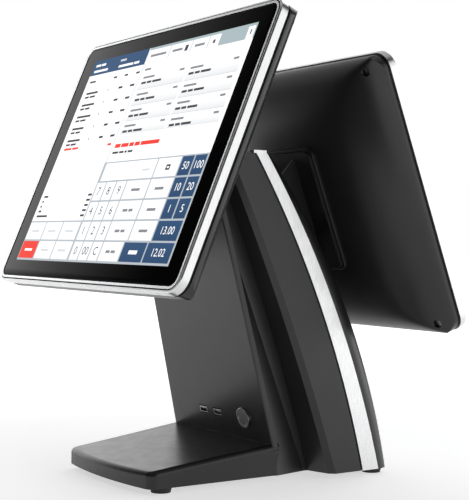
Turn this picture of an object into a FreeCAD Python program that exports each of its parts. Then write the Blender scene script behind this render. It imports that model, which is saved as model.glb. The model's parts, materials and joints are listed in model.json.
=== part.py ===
import FreeCAD, Part
import math
import os

import Sketcher
from FreeCAD import Placement, Rotation, Vector

# Point-of-sale terminal with two 15 inch screens on one stand.
# +X is the operator's right, -Y points towards the operator, +Z is up.
# The origin is on the counter, at the centre of the stand's footprint.
# Each display head is drawn flat in its own frame (X right, Y up the screen, Z out of
# the glass, origin at the middle of the glass) and is then placed on its tilt.

doc = FreeCAD.newDocument("pos_touchscreen_terminal")
sheet = doc.addObject("Spreadsheet::Sheet", "Dims")

DIMENSIONS = {
    # screen and bezel of a display head
    "screen_width": (304.1, "active area of a 15 inch 4:3 panel"),
    "screen_height": (228.1, "active area of a 15 inch 4:3 panel"),
    "side_border": (22.25, "black border of the glass, left and right"),
    "top_border": (16.75, "black border of the glass, top and bottom"),
    "glass_thickness": (3.0, "touch glass"),
    "glass_corner": (9.5, "corner radius of the touch glass"),
    "lip_gap": (0.2, "gap between glass and bright lip"),
    "lip_width": (2.2, "bright lip around the glass"),
    "lip_proud": (0.4, "height of the lip over the glass"),
    "seam_width": (1.2, "dark seam between lip and frame"),
    "seam_depth": (1.4, "depth of the dark seam"),
    "frame_wall": (2.0, "wall of the silver frame"),
    "frame_depth": (7.8, "depth of the silver band"),
    "flange_front": (3.4, "depth of the frame's glass flange"),
    "flange_thickness": (2.0, "thickness of that flange"),
    "flange_open_x": (26.0, "flange opening wider than the screen"),
    "flange_open_y": (29.0, "flange opening higher than the screen"),
    "frame_round": (1.2, "rounded front edge of the silver frame"),
    "groove_depth": (3.0, "dark groove between frame and rear cover"),
    "groove_inset": (2.4, "how far the groove sits in"),
    "groove_wall": (4.5, "width of the ring in the groove"),
    # rear cover of a display head
    "cover_inset": (1.0, "rear cover smaller than the frame, each side"),
    "cover_depth": (33.0, "crown of the rear cover"),
    "cover_wall": (2.5, "wall of the rear cover"),
    "arch_margin": (1.0, "arches wider than the cover, each side"),
    "arch_power": (2.5, "squareness of the top-to-bottom arch"),
    "pad_width": (156.0, "flat pad under the mounting plate"),
    "pad_height": (126.0, "flat pad under the mounting plate"),
    "pad_proud": (0.5, "height of the pad over the crown"),
    "corner_screw_inset_x": (14.0, "corner screw to the cover's side edge"),
    "corner_screw_inset_y": (12.0, "corner screw to the cover's top edge"),
    "vesa_pitch": (75.0, "mounting hole spacing"),
    "main_plate_width": (136.0, "main display's hinge plate, between the side covers"),
    "customer_plate_width": (150.0, "customer display's hinge plate"),
    "mount_plate_height": (120.0, "hinge plate on the rear cover"),
    "mount_plate_thickness": (2.5, "hinge plate on the rear cover"),
    # display positions
    "main_tilt": (23.0, "main glass from the vertical, degrees"),
    "main_centre_y": (-107.5, "middle of the main glass"),
    "main_centre_z": (309.85, "middle of the main glass"),
    "customer_tilt": (21.4, "customer glass from the vertical, degrees"),
    "customer_centre_y": (113.7, "middle of the customer glass"),
    "customer_centre_z": (273.6, "middle of the customer glass"),
    "main_pivot_back": (66.0, "tilt axis behind the main glass"),
    "customer_pivot_back": (62.0, "tilt axis behind the customer glass"),
    # hinges
    "pin_radius": (5.0, "hinge pin"),
    "pin_clearance": (0.05, "hinge pin in its bore"),
    "eye_radius": (9.0, "round end of a hinge ear"),
    "ear_thickness": (3.0, "sheet steel of the hinge ears"),
    "main_ear_x": (30.0, "inner face of the main display's ears"),
    "customer_ear_x": (47.0, "inner face of the customer display's ears"),
    "washer_thickness": (0.9, "friction washer between two ears"),
    # stand
    "foot_clearance": (5.5, "underside of the stand over the counter"),
    "foot_front_y": (-133.0, "front of the foot, at its middle"),
    "foot_bow": (7.5, "how far the front edge bows out"),
    "foot_front_half": (80.5, "half width of the foot at the front"),
    "foot_low_rear_half": (80.0, "half width of the foot at the column, on the counter"),
    "foot_high_rear_half": (92.6, "the same, 45 mm above the counter"),
    "foot_loft_height": (45.0, "height of that upper width"),
    "foot_rear_y": (9.0, "rear end of the foot's flared sides"),
    "foot_front_top": (20.0, "height of the foot's top at the front"),
    "foot_slope": (0.118, "rise of the foot's top towards the column"),
    "foot_corner": (9.0, "front corners of the foot"),
    "foot_edge_round": (4.5, "rounded top edge of the foot"),
    "shell_wall": (3.0, "wall of the stand's covers"),
    "panel_foot_y": (1.25, "front panel where it meets the foot"),
    "panel_foot_z": (34.5, "front panel where it meets the foot"),
    "panel_lean": (0.24, "forward lean of the front panel, run over rise"),
    "panel_half": (88.0, "half width of the front panel at the foot"),
    "panel_taper": (0.05, "narrowing of the front panel per height"),
    "panel_thickness": (6.0, "front panel slab"),
    "panel_top_z": (285.0, "top edge of the front panel"),
    "channel_half": (82.8, "half width of the column behind the panel, at the counter"),
    "channel_depth": (7.0, "how much the column narrows towards the side covers, at the counter"),
    "outer_half": (105.0, "half width over the side covers, at the counter"),
    "side_taper": (0.04, "narrowing of the stand's sides per height"),
    "stand_mid_z": (155.0, "height of the arcs' middle points"),
    "stand_top_z": (307.4, "top of the side covers"),
    "wing_low_y": (59.0, "side cover's front edge at the bottom"),
    "wing_mid_y": (9.3, "side cover's front edge at mid height"),
    "wing_top_y": (-56.7, "side cover's front edge at the top"),
    "wing_slant": (6.0, "side cover's front face reaches forward at the channel"),
    "wing_chamfer": (4.4, "bevel of the side cover's front edge"),
    "strip_front_low_y": (94.4, "trim strip's front edge at the bottom"),
    "strip_front_mid_y": (50.4, "trim strip's front edge at mid height"),
    "strip_front_top_y": (-25.1, "trim strip's front edge at the top"),
    "strip_rear_low_y": (116.0, "trim strip's rear edge at the bottom"),
    "strip_rear_mid_y": (69.4, "trim strip's rear edge at mid height"),
    "strip_rear_top_y": (-10.8, "trim strip's rear edge at the top"),
    "back_low_y": (133.0, "stand's back at the bottom"),
    "back_mid_y": (90.0, "stand's back at mid height"),
    "back_top_y": (-0.2, "stand's back at the top"),
    "strip_thickness": (2.2, "metal of the trim strip"),
    "strip_proud": (0.3, "trim strip over the side cover"),
    "strip_groove": (2.2, "shadow gap in front of the trim strip"),
    "back_round": (16.0, "rounding between the stand's back and its sides"),
    "part_gap": (0.25, "assembly gap between covers"),
    "hinge_well_half": (46.0, "half width of the opening for the main hinge"),
    "hinge_well_z": (255.0, "bottom of the opening for the main hinge"),
    "frame_half": (62.0, "half width inside the steel column"),
    "steel": (2.0, "sheet steel of the column and base plate"),
    # things in the front panel
    "port_height": (57.0, "height of the ports and the power button"),
    "port_left_x": (-23.9, "left port"),
    "port_right_x": (1.0, "right port"),
    "button_x": (47.3, "power button"),
    "button_radius": (7.8, "power button cap"),
    # feet
    "pad_top_radius": (10.3, "rubber foot at the top"),
    "pad_bottom_radius": (9.0, "rubber foot at the counter"),
    "front_pad_x": (67.0, "front feet"),
    "front_pad_y": (-107.0, "front feet"),
    "rear_pad_x": (89.0, "rear feet"),
    "rear_pad_y": (120.0, "rear feet"),
}


class Size:
    """A length that knows its value and the spreadsheet expression that gives it."""

    def __init__(self, value, text):
        self.value = float(value)
        self.text = text

    def __add__(self, other):
        other = as_size(other)
        return Size(self.value + other.value, f"({self.text} + {other.text})")

    def __sub__(self, other):
        other = as_size(other)
        return Size(self.value - other.value, f"({self.text} - {other.text})")

    def __mul__(self, other):
        other = as_size(other)
        return Size(self.value * other.value, f"({self.text} * {other.text})")

    def __truediv__(self, other):
        other = as_size(other)
        return Size(self.value / other.value, f"({self.text} / {other.text})")

    def __neg__(self):
        return Size(-self.value, f"(0 - {self.text})")

    def __radd__(self, other):
        return as_size(other) + self

    def __rsub__(self, other):
        return as_size(other) - self

    def __rmul__(self, other):
        return as_size(other) * self


def as_size(number):
    """Takes a Size or a plain number and gives a Size."""
    if isinstance(number, Size):
        return number
    return Size(number, f"({float(number):.6f})")


class Dims:
    """Every driving dimension, as a Size bound to its spreadsheet cell."""


for row, (alias, (number, meaning)) in enumerate(DIMENSIONS.items(), start=1):
    sheet.set(f"A{row}", alias)
    sheet.set(f"B{row}", str(number))
    sheet.set(f"C{row}", meaning)
    sheet.setAlias(f"B{row}", alias)
    setattr(Dims, alias, Size(number, f"Dims.{alias}"))
doc.recompute()

# ---------------------------------------------------------------- derived sizes

glass_width = Dims.screen_width + 2 * Dims.side_border
glass_height = Dims.screen_height + 2 * Dims.top_border
lip_out = Dims.lip_gap + Dims.lip_width
wall_in = lip_out + Dims.seam_width
wall_out = wall_in + Dims.frame_wall
cover_front = Dims.frame_depth + Dims.groove_depth
crown_back = cover_front + Dims.cover_depth
pad_back = crown_back + Dims.pad_proud
plate_back = pad_back + Dims.mount_plate_thickness
cover_width = glass_width + 2 * wall_out - 2 * Dims.cover_inset
cover_height = glass_height + 2 * wall_out - 2 * Dims.cover_inset
cover_corner = Dims.glass_corner + wall_out - Dims.cover_inset
bore_radius = Dims.pin_radius + Dims.pin_clearance

SCREW_SLACK = 0.1
M4_RADIUS = 1.95
M3_RADIUS = 1.6
SCREW_HEAD_RADIUS = 3.5
SCREW_HEAD_HEIGHT = 2.3
CORNER_SEAT = 9.7
BOARD_THICKNESS = 1.6
FAR = 400.0


def panel_y(height):
    """Depth of the front panel's outer face at a height."""
    return Dims.panel_foot_y - Dims.panel_lean * (height - Dims.panel_foot_z)


def outer_half_at(height):
    """Half width over the side covers at a height."""
    return Dims.outer_half - Dims.side_taper * height


def channel_half_at(height):
    """Half width of the recessed side channel at a height."""
    return Dims.channel_half - Dims.side_taper * height


def narrow_half_at(height):
    """Half width of the column where it meets the side covers; full width at the top."""
    fade = 1 - as_size(height) / Dims.stand_top_z
    return channel_half_at(height) - Dims.channel_depth * fade


def panel_half_at(height):
    """Half width of the front panel at a height."""
    return Dims.panel_half - Dims.panel_taper * (height - Dims.panel_foot_z)


# ---------------------------------------------------------------- small helpers

sub_parts = []


def keep(part, label, placement=None):
    """Names a finished piece, puts it in its place and lists it for export."""
    part.Label = label
    if placement is not None:
        part.Placement = placement
    sub_parts.append(part)
    return part


def new_body(name):
    return doc.addObject("PartDesign::Body", name)


def sketch_on(body, role, lift=0):
    """A sketch on one of the body's origin planes, lifted along the plane's normal."""
    plane = next(item for item in body.Origin.OriginFeatures if item.Role == role)
    sketch = body.newObject("Sketcher::SketchObject", "Outline")
    sketch.AttachmentSupport = (plane, [""])
    sketch.MapMode = "FlatFace"
    sketch.setExpression("AttachmentOffset.Base.z", as_size(lift).text)
    return sketch


def fix(sketch, index, end, x, y):
    """Holds one point of a sketch curve at bound coordinates."""
    for kind, size in (("DistanceX", x), ("DistanceY", y)):
        number = sketch.addConstraint(
            Sketcher.Constraint(kind, -1, 1, index, end, size.value))
        sketch.setExpression(f"Constraints[{number}]", size.text)


def outline(sketch, corners):
    """A closed outline. A corner is (x, y), or (x, y, (mx, my)) where an arc through
    the middle point (mx, my) leads to the next corner."""
    corners = [tuple(map(as_size, corner[:2])) + corner[2:] for corner in corners]
    first = None
    last = None
    for corner, following in zip(corners, corners[1:] + corners[:1]):
        start = Vector(corner[0].value, corner[1].value, 0)
        end = Vector(following[0].value, following[1].value, 0)
        if len(corner) == 3:
            middle = tuple(map(as_size, corner[2]))
            through = Vector(middle[0].value, middle[1].value, 0)
            curve = Part.Arc(start, through, end)
            index = sketch.addGeometry(curve, False)
            begins = sketch.getPoint(index, 1).distanceToPoint(start) < 1e-6
            start_end, finish_end = (1, 2) if begins else (2, 1)
            point = sketch.addGeometry(Part.Point(through), True)
            fix(sketch, point, 1, *middle)
            sketch.addConstraint(Sketcher.Constraint("PointOnObject", point, 1, index))
        else:
            index = sketch.addGeometry(Part.LineSegment(start, end), False)
            start_end, finish_end = (1, 2)
        fix(sketch, index, start_end, corner[0], corner[1])
        if last is not None:
            sketch.addConstraint(
                Sketcher.Constraint("Coincident", last[0], last[1], index, start_end))
        else:
            first = (index, start_end)
        last = (index, finish_end)
    sketch.addConstraint(Sketcher.Constraint("Coincident", last[0], last[1], *first))


def rounded_rectangle(sketch, width, height, corner):
    """A rectangle with round corners, centred on the sketch origin."""
    half_x = as_size(width) / 2
    half_y = as_size(height) / 2
    corner = as_size(corner)
    bulge = corner * (1 - math.sqrt(0.5))
    path = []
    for sign_x, sign_y, turn in ((1, 1, True), (-1, 1, False), (-1, -1, True), (1, -1, False)):
        on_side = (sign_x * half_x, sign_y * (half_y - corner))
        on_top = (sign_x * (half_x - corner), sign_y * half_y)
        middle = (sign_x * (half_x - bulge), sign_y * (half_y - bulge))
        start, end = (on_side, on_top) if turn else (on_top, on_side)
        path.append(start + (middle,))
        path.append(end)
    outline(sketch, path)


def circle(sketch, x, y, radius):
    x, y, radius = as_size(x), as_size(y), as_size(radius)
    shape = Part.Circle(Vector(x.value, y.value, 0), Vector(0, 0, 1), radius.value)
    index = sketch.addGeometry(shape, False)
    number = sketch.addConstraint(Sketcher.Constraint("Radius", index, radius.value))
    sketch.setExpression(f"Constraints[{number}]", radius.text)
    fix(sketch, index, 3, x, y)


def pad(body, sketch, length, symmetric=False):
    """Pads a sketch along its normal, or evenly to both sides."""
    feature = body.newObject("PartDesign::Pad", "Pad")
    feature.Profile = sketch
    if symmetric:
        feature.SideType = "Symmetric"
    feature.setExpression("Length", as_size(length).text)
    return feature


def pocket_through(body, sketch):
    """Cuts a sketch through everything, to both sides."""
    feature = body.newObject("PartDesign::Pocket", "Pocket")
    feature.Profile = sketch
    feature.SideType = "Symmetric"
    feature.Type = "ThroughAll"
    return feature


def ring(label, grow_out, grow_in, back, depth, placement):
    """A frame around the glass, between two outlines grown from the glass edge."""
    body = new_body(label)
    sketch = sketch_on(body, "XY_Plane", -as_size(back))
    for grow in (grow_out, grow_in):
        rounded_rectangle(sketch, glass_width + 2 * grow, glass_height + 2 * grow,
                          Dims.glass_corner + grow)
    pad(body, sketch, depth)
    return keep(body, label, placement)


def slab(name, low, high):
    """A box between two opposite corners."""
    box = doc.addObject("Part::Box", name)
    low = [as_size(size) for size in low]
    high = [as_size(size) for size in high]
    for side, axis, start, end in zip(("Length", "Width", "Height"), "xyz", low, high):
        box.setExpression(side, (end - start).text)
        box.setExpression(f"Placement.Base.{axis}", start.text)
    return box


def rod(name, radius, start, length, direction=(0, 0, 1)):
    """A cylinder from a point along a direction."""
    cylinder = doc.addObject("Part::Cylinder", name)
    cylinder.Placement = Placement(Vector(0, 0, 0), Rotation(Vector(0, 0, 1), Vector(*direction)))
    cylinder.setExpression("Radius", as_size(radius).text)
    cylinder.setExpression("Height", as_size(length).text)
    for axis, size in zip("xyz", start):
        cylinder.setExpression(f"Placement.Base.{axis}", as_size(size).text)
    return cylinder


def fuse(name, shapes):
    joined = doc.addObject("Part::MultiFuse", name)
    joined.Shapes = shapes
    return joined


def common(name, shapes):
    shared = doc.addObject("Part::MultiCommon", name)
    shared.Shapes = shapes
    return shared


def cut(name, base, tool):
    remainder = doc.addObject("Part::Cut", name)
    remainder.Base = base
    remainder.Tool = tool
    return remainder


def group(name, shapes):
    """Several separate solids kept as one piece group."""
    compound = doc.addObject("Part::Compound", name)
    compound.Links = shapes
    return compound


def prism(name, role, corners, length, lift=0):
    """An outline padded evenly to both sides of a plane, or from a lifted plane."""
    body = new_body(name)
    sketch = sketch_on(body, role, lift)
    outline(sketch, corners)
    pad(body, sketch, length, symmetric=(lift == 0))
    return body


def round_edges(name, base, radius, wanted):
    """Rounds the edges whose middle point the test accepts."""
    doc.recompute()
    feature = doc.addObject("Part::Fillet", name)
    feature.Base = base
    picked = []
    for number, edge in enumerate(base.Shape.Edges, start=1):
        middle = edge.valueAt((edge.FirstParameter + edge.LastParameter) / 2)
        if wanted(edge, middle):
            picked.append((number, as_size(radius).value, as_size(radius).value))
    feature.Edges = picked
    return feature


def mirrored(shape, name):
    """The same piece on the other side of the stand."""
    copy = doc.addObject("Part::Mirroring", name)
    copy.Source = shape
    copy.Base = (0, 0, 0)
    copy.Normal = (1, 0, 0)
    return copy


# ---------------------------------------------------------------- display head


def head_placement(centre_y, centre_z, tilt, faces_customer):
    """Stands a head up on its tilt, facing the operator or the customer."""
    stand_up = Rotation(Vector(1, 0, 0), 90 - tilt.value)
    turn = Rotation(Vector(0, 0, 1), 180 if faces_customer else 0)
    return Placement(Vector(0, centre_y.value, centre_z.value), turn.multiply(stand_up))


def cover_glass(label, placement):
    body = new_body(label)
    sketch = sketch_on(body, "XY_Plane", -Dims.glass_thickness)
    rounded_rectangle(sketch, glass_width, glass_height, Dims.glass_corner)
    pad(body, sketch, Dims.glass_thickness)
    return keep(body, label, placement)


def silver_frame(label, placement):
    """The metal band: a wall around the edge and a flange behind the glass."""
    body = new_body(label)
    wall = sketch_on(body, "XY_Plane", -Dims.frame_depth)
    for grow in (wall_out, wall_in):
        rounded_rectangle(wall, glass_width + 2 * grow, glass_height + 2 * grow,
                          Dims.glass_corner + grow)
    pad(body, wall, Dims.frame_depth)
    flange = sketch_on(body, "XY_Plane", -(Dims.flange_front + Dims.flange_thickness))
    middle = (wall_in + wall_out) / 2
    rounded_rectangle(flange, glass_width + 2 * middle, glass_height + 2 * middle,
                      Dims.glass_corner + middle)
    rounded_rectangle(flange, Dims.screen_width + Dims.flange_open_x,
                      Dims.screen_height + Dims.flange_open_y, 4)
    tip = pad(body, flange, Dims.flange_thickness)
    doc.recompute()
    half_x = (glass_width / 2 + wall_out).value
    half_y = (glass_height / 2 + wall_out).value
    names = []
    for number, edge in enumerate(tip.Shape.Edges, start=1):
        middle = edge.valueAt((edge.FirstParameter + edge.LastParameter) / 2)
        near_outside = abs(middle.x) > half_x - 5 or abs(middle.y) > half_y - 5
        outline_edge = max(abs(middle.x) - half_x, abs(middle.y) - half_y) > -0.01
        corner_edge = edge.Curve.TypeId == "Part::GeomCircle" and \
            abs(edge.Curve.Radius - (Dims.glass_corner + wall_out).value) < 0.01
        if abs(middle.z) < 0.01 and near_outside and (outline_edge or corner_edge):
            names.append(f"Edge{number}")
    rounding = body.newObject("PartDesign::Fillet", "Round")
    rounding.Base = (tip, names)
    rounding.setExpression("Radius", Dims.frame_round.text)
    body.Tip = rounding
    return keep(body, label, placement)


def lcd_panel(label, placement):
    """The display module, with its thin driver box along the lower edge."""
    front = Dims.glass_thickness + 0.3
    half_x = Dims.screen_width / 2 + 11.2
    half_y = Dims.screen_height / 2 + 12.7
    module = slab("Module", (-half_x, -half_y, -(front + 11)), (half_x, half_y, -front))
    strip = slab("DriverStrip", (-half_x + 20, -half_y, -(front + 11.6)),
                 (half_x - 20, -half_y + 22, -(front + 11)))
    return keep(fuse("LcdPanel", [module, strip]), label, placement)


def chassis(label, placement):
    """Steel tray behind the screen, with four threaded posts for the hinge plate."""
    body = new_body(label)
    back = 17.0
    sketch = sketch_on(body, "XY_Plane", -back)
    rounded_rectangle(sketch, 340, 257, 10)
    pad(body, sketch, 1.5)
    windows = sketch_on(body, "XY_Plane", -back)
    for side in (-1, 1):
        outline(windows, [(side * 80, -95), (side * 140, -95), (side * 140, -60), (side * 80, -60)])
    screw_x = cover_width / 2 - Dims.corner_screw_inset_x
    screw_y = cover_height / 2 - Dims.corner_screw_inset_y
    for sx in (-1, 1):
        for sy in (-1, 1):
            circle(windows, sx * screw_x, sy * screw_y, M3_RADIUS + SCREW_SLACK)
    pocket_through(body, windows)
    posts = sketch_on(body, "XY_Plane", -(crown_back - Dims.cover_wall - 3.3))
    for sign_x in (-1, 1):
        for sign_y in (-1, 1):
            circle(posts, sign_x * Dims.vesa_pitch / 2, sign_y * Dims.vesa_pitch / 2, 5)
    pad(body, posts, crown_back - Dims.cover_wall - 3.3 - back + 0.5)
    bores = sketch_on(body, "XY_Plane", -back)
    for sign_x in (-1, 1):
        for sign_y in (-1, 1):
            circle(bores, sign_x * Dims.vesa_pitch / 2, sign_y * Dims.vesa_pitch / 2,
                   M4_RADIUS + SCREW_SLACK)
    pocket_through(body, bores)
    return keep(body, label, placement)


def circuit_board(name, centre, size, chips):
    """A circuit board behind the chassis, on spacers, its chips on its rear face."""
    x, y, z = centre
    half_x, half_y = size[0] / 2, size[1] / 2
    pieces = [slab("Board", (x - half_x, y - half_y, z - BOARD_THICKNESS),
                   (x + half_x, y + half_y, z))]
    for corner_x in (x - half_x + 4, x + half_x - 4):
        for corner_y in (y - half_y + 4, y + half_y - 4):
            pieces.append(slab("Spacer", (corner_x - 2, corner_y - 2, z - 0.5),
                               (corner_x + 2, corner_y + 2, z + 1)))
    for chip_x, chip_y, width, length, height in chips:
        low = (x + chip_x - width / 2, y + chip_y - length / 2, z - BOARD_THICKNESS - height)
        high = (x + chip_x + width / 2, y + chip_y + length / 2, z - BOARD_THICKNESS)
        pieces.append(slab("Chip", low, high))
    return fuse(name, pieces)


def arch_outline(half_span, depth, power, front):
    """Half of a superellipse below z = -front, closed a little above, in x and z."""
    steps = 28
    points = []
    for step in range(steps + 1):
        angle = math.pi * step / steps
        across = math.copysign(abs(math.cos(angle)) ** (2 / power), math.cos(angle))
        down = math.sin(angle) ** (2 / power)
        points.append(Vector(half_span * across, 0, -front - depth * down))
    curve = Part.BSplineCurve()
    curve.interpolate(points)
    rise = Vector(0, 0, 5)
    sides = Part.makePolygon([points[-1], points[-1] + rise, points[0] + rise, points[0]])
    return Part.Wire([curve.toShape()] + sides.Edges)


def arched_block(name, inset):
    """The pillow shape of a rear cover: a rounded block under two crossed arches."""
    wide = cover_width - 2 * inset
    tall = cover_height - 2 * inset
    front = cover_front
    block = new_body("Block")
    lift = -(crown_back + 5)
    sketch = sketch_on(block, "XY_Plane", lift)
    rounded_rectangle(sketch, wide, tall, cover_corner - inset)
    pad(block, sketch, Dims.cover_depth + 5)
    depth = (Dims.cover_depth - inset).value
    arches = []
    for half, power, turned in (((wide / 2 + Dims.arch_margin).value, 2.0, False),
                                ((tall / 2 + Dims.arch_margin).value, Dims.arch_power.value, True)):
        wire = arch_outline(half, depth, power, front.value)
        wire.translate(Vector(0, -FAR / 2, 0))
        solid = Part.Face(wire).extrude(Vector(0, FAR, 0))
        if turned:
            solid.rotate(Vector(0, 0, 0), Vector(0, 0, 1), 90)
        arch = doc.addObject("Part::Feature", "Arch")
        arch.Shape = solid
        arches.append(arch)
    return common(name, [block] + arches)


def rear_cover(label, placement):
    """Moulded rear shell with a flat pad for the hinge plate and four corner screws."""
    shell = cut("Shell", arched_block("OuterPillow", as_size(0)),
                arched_block("InnerPillow", Dims.cover_wall))
    additions = [shell]
    pad_body = new_body("MountPad")
    sketch = sketch_on(pad_body, "XY_Plane", -pad_back)
    rounded_rectangle(sketch, Dims.pad_width, Dims.pad_height, 8)
    pad(pad_body, sketch, Dims.pad_proud + Dims.cover_wall + 3)
    additions.append(pad_body)
    screw_x = cover_width / 2 - Dims.corner_screw_inset_x
    screw_y = cover_height / 2 - Dims.corner_screw_inset_y
    posts = [rod("Boss", 6, (sx * screw_x, sy * screw_y, -(cover_front + 20)), 13.6)
             for sx in (-1, 1) for sy in (-1, 1)]
    bosses = common("Bosses", [fuse("BossPosts", posts), arched_block("BossLimit", as_size(0.5))])
    additions.append(bosses)
    cover = fuse("CoverWithBosses", additions)
    holes = []
    for sx in (-1, 1):
        for sy in (-1, 1):
            holes.append(rod("Recess", SCREW_HEAD_RADIUS + 0.4,
                             (sx * screw_x, sy * screw_y, -crown_back),
                             Dims.cover_depth - CORNER_SEAT))
            holes.append(rod("Hole", M3_RADIUS + SCREW_SLACK,
                             (sx * screw_x, sy * screw_y, -crown_back), crown_back))
            holes.append(rod("MountHole", M4_RADIUS + 0.3,
                             (sx * Dims.vesa_pitch / 2, sy * Dims.vesa_pitch / 2, -pad_back - 1), 12))
    return keep(cut("RearCover", cover, fuse("CoverHoles", holes)), label, placement)


def corner_screws(label, placement):
    """Four screws sunk in the corners of the rear cover."""
    screw_x = cover_width / 2 - Dims.corner_screw_inset_x
    screw_y = cover_height / 2 - Dims.corner_screw_inset_y
    seat = -(cover_front + CORNER_SEAT)
    screws = []
    for sx in (-1, 1):
        for sy in (-1, 1):
            shank = rod("Shank", M3_RADIUS, (sx * screw_x, sy * screw_y, seat), 7)
            head = rod("Head", SCREW_HEAD_RADIUS,
                       (sx * screw_x, sy * screw_y, seat - SCREW_HEAD_HEIGHT), SCREW_HEAD_HEIGHT)
            screws.append(fuse("CornerScrew", [shank, head]))
    return keep(group("CornerScrews", screws), label, placement)


def mount_screws(label, placement):
    """Four screws that hold the hinge plate to the posts of the chassis."""
    screws = []
    for sx in (-1, 1):
        for sy in (-1, 1):
            spot = (sx * Dims.vesa_pitch / 2, sy * Dims.vesa_pitch / 2)
            shank = rod("Shank", M4_RADIUS, spot + (-plate_back,), 18)
            head = rod("Head", SCREW_HEAD_RADIUS + 0.5,
                       spot + (-plate_back - SCREW_HEAD_HEIGHT,), SCREW_HEAD_HEIGHT)
            screws.append(fuse("MountScrew", [shank, head]))
    return keep(group("MountScrews", screws), label, placement)


def hinge_plate(label, placement, width, ear_x, pivot_back, ear_corners):
    """Steel plate screwed on the rear cover, with two ears that take the hinge pins."""
    body = new_body(label)
    sketch = sketch_on(body, "XY_Plane", -plate_back)
    rounded_rectangle(sketch, width, Dims.mount_plate_height, 6)
    pad(body, sketch, Dims.mount_plate_thickness)
    for lift in (ear_x, -(ear_x + Dims.ear_thickness)):
        ear = sketch_on(body, "YZ_Plane", lift)
        outline(ear, ear_corners)
        pad(body, ear, Dims.ear_thickness)
    bore = sketch_on(body, "YZ_Plane")
    circle(bore, 0, -pivot_back, bore_radius)
    pocket_through(body, bore)
    holes = sketch_on(body, "XY_Plane", -plate_back)
    for sx in (-1, 1):
        for sy in (-1, 1):
            circle(holes, sx * Dims.vesa_pitch / 2, sy * Dims.vesa_pitch / 2, M4_RADIUS + 0.3)
    pocket_through(body, holes)
    return keep(body, label, placement)


def display_head(name, placement, plate_width, ear_x, pivot_back, ear_corners):
    """Everything that tilts with one screen."""
    cover_glass(f"{name}_cover_glass", placement)
    lip_back = Dims.glass_thickness + 0.2
    ring(f"{name}_chrome_lip", lip_out, Dims.lip_gap, lip_back, lip_back + Dims.lip_proud, placement)
    ring(f"{name}_seam_gasket", wall_in - 0.1, lip_out + 0.1, lip_back,
         lip_back - Dims.seam_depth, placement)
    silver_frame(f"{name}_silver_frame", placement)
    groove_out = wall_out - Dims.groove_inset
    ring(f"{name}_groove_ring", groove_out, groove_out - Dims.groove_wall, cover_front,
         cover_front - Dims.flange_front - Dims.flange_thickness - 0.1, placement)
    lcd_panel(f"{name}_lcd_panel", placement)
    chassis(f"{name}_chassis", placement)
    driver = circuit_board("DriverBoard", (-105, 20, -18), (90, 70),
                           [(-20, 10, 16, 16, 2), (20, -12, 22, 12, 5), (0, 28, 50, 6, 6)])
    keep(driver, f"{name}_driver_board", placement)
    touch = circuit_board("TouchBoard", (108, 30, -18), (60, 36),
                          [(0, 0, 12, 12, 1.5), (-20, 10, 10, 6, 4), (18, -10, 14, 5, 5)])
    keep(touch, f"{name}_touch_controller", placement)
    rear_cover(f"{name}_rear_cover", placement)
    corner_screws(f"{name}_cover_screws", placement)
    hinge_plate(f"{name}_hinge_plate", placement, plate_width, ear_x, pivot_back, ear_corners)
    mount_screws(f"{name}_plate_screws", placement)


# ---------------------------------------------------------------- stand


def arc_edge(low_y, mid_y, top_y):
    """Two corners and the arc between them, from the bottom of the stand to its top."""
    low = (low_y, Dims.foot_clearance, (mid_y, Dims.stand_mid_z))
    return low, (top_y, Dims.stand_top_z)


def reverse_arc(pair):
    """The same arc drawn from the top down."""
    low, top = pair
    return top + (low[2],), low[:2]


def wing_edge(shift=0, slant=0):
    """Front edge of the side cover. A slant moves it forward at the foot, not at the top."""
    return arc_edge(Dims.wing_low_y + shift + slant, Dims.wing_mid_y + shift + 0.6 * slant,
                    Dims.wing_top_y + shift)


def strip_front(shift=0):
    return arc_edge(Dims.strip_front_low_y + shift, Dims.strip_front_mid_y + shift,
                    Dims.strip_front_top_y + shift)


def strip_rear(shift=0):
    return arc_edge(Dims.strip_rear_low_y + shift, Dims.strip_rear_mid_y + shift,
                    Dims.strip_rear_top_y + shift)


def back_edge(shift=0):
    return arc_edge(Dims.back_low_y + shift, Dims.back_mid_y + shift, Dims.back_top_y + shift)


def between(front, rear):
    """Closed side outline between two arcs, the second one drawn downwards."""
    down = reverse_arc(rear)
    return [front[0], front[1], down[0], down[1]]


def upright(name, inner, outer, low=-10, high=340, depth=FAR):
    """A block between two leaning side planes on the +X side, given by their half widths."""
    corners = [(inner(low), low), (outer(low), low), (outer(high), high), (inner(high), high)]
    return prism(name, "XZ_Plane", corners, 2 * depth)


def full_width(name, outer, low=-10, high=340):
    """The same on both sides of the middle, as one block."""
    corners = [(-outer(low), low), (outer(low), low), (outer(high), high), (-outer(high), high)]
    return prism(name, "XZ_Plane", corners, 2 * FAR)


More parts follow.
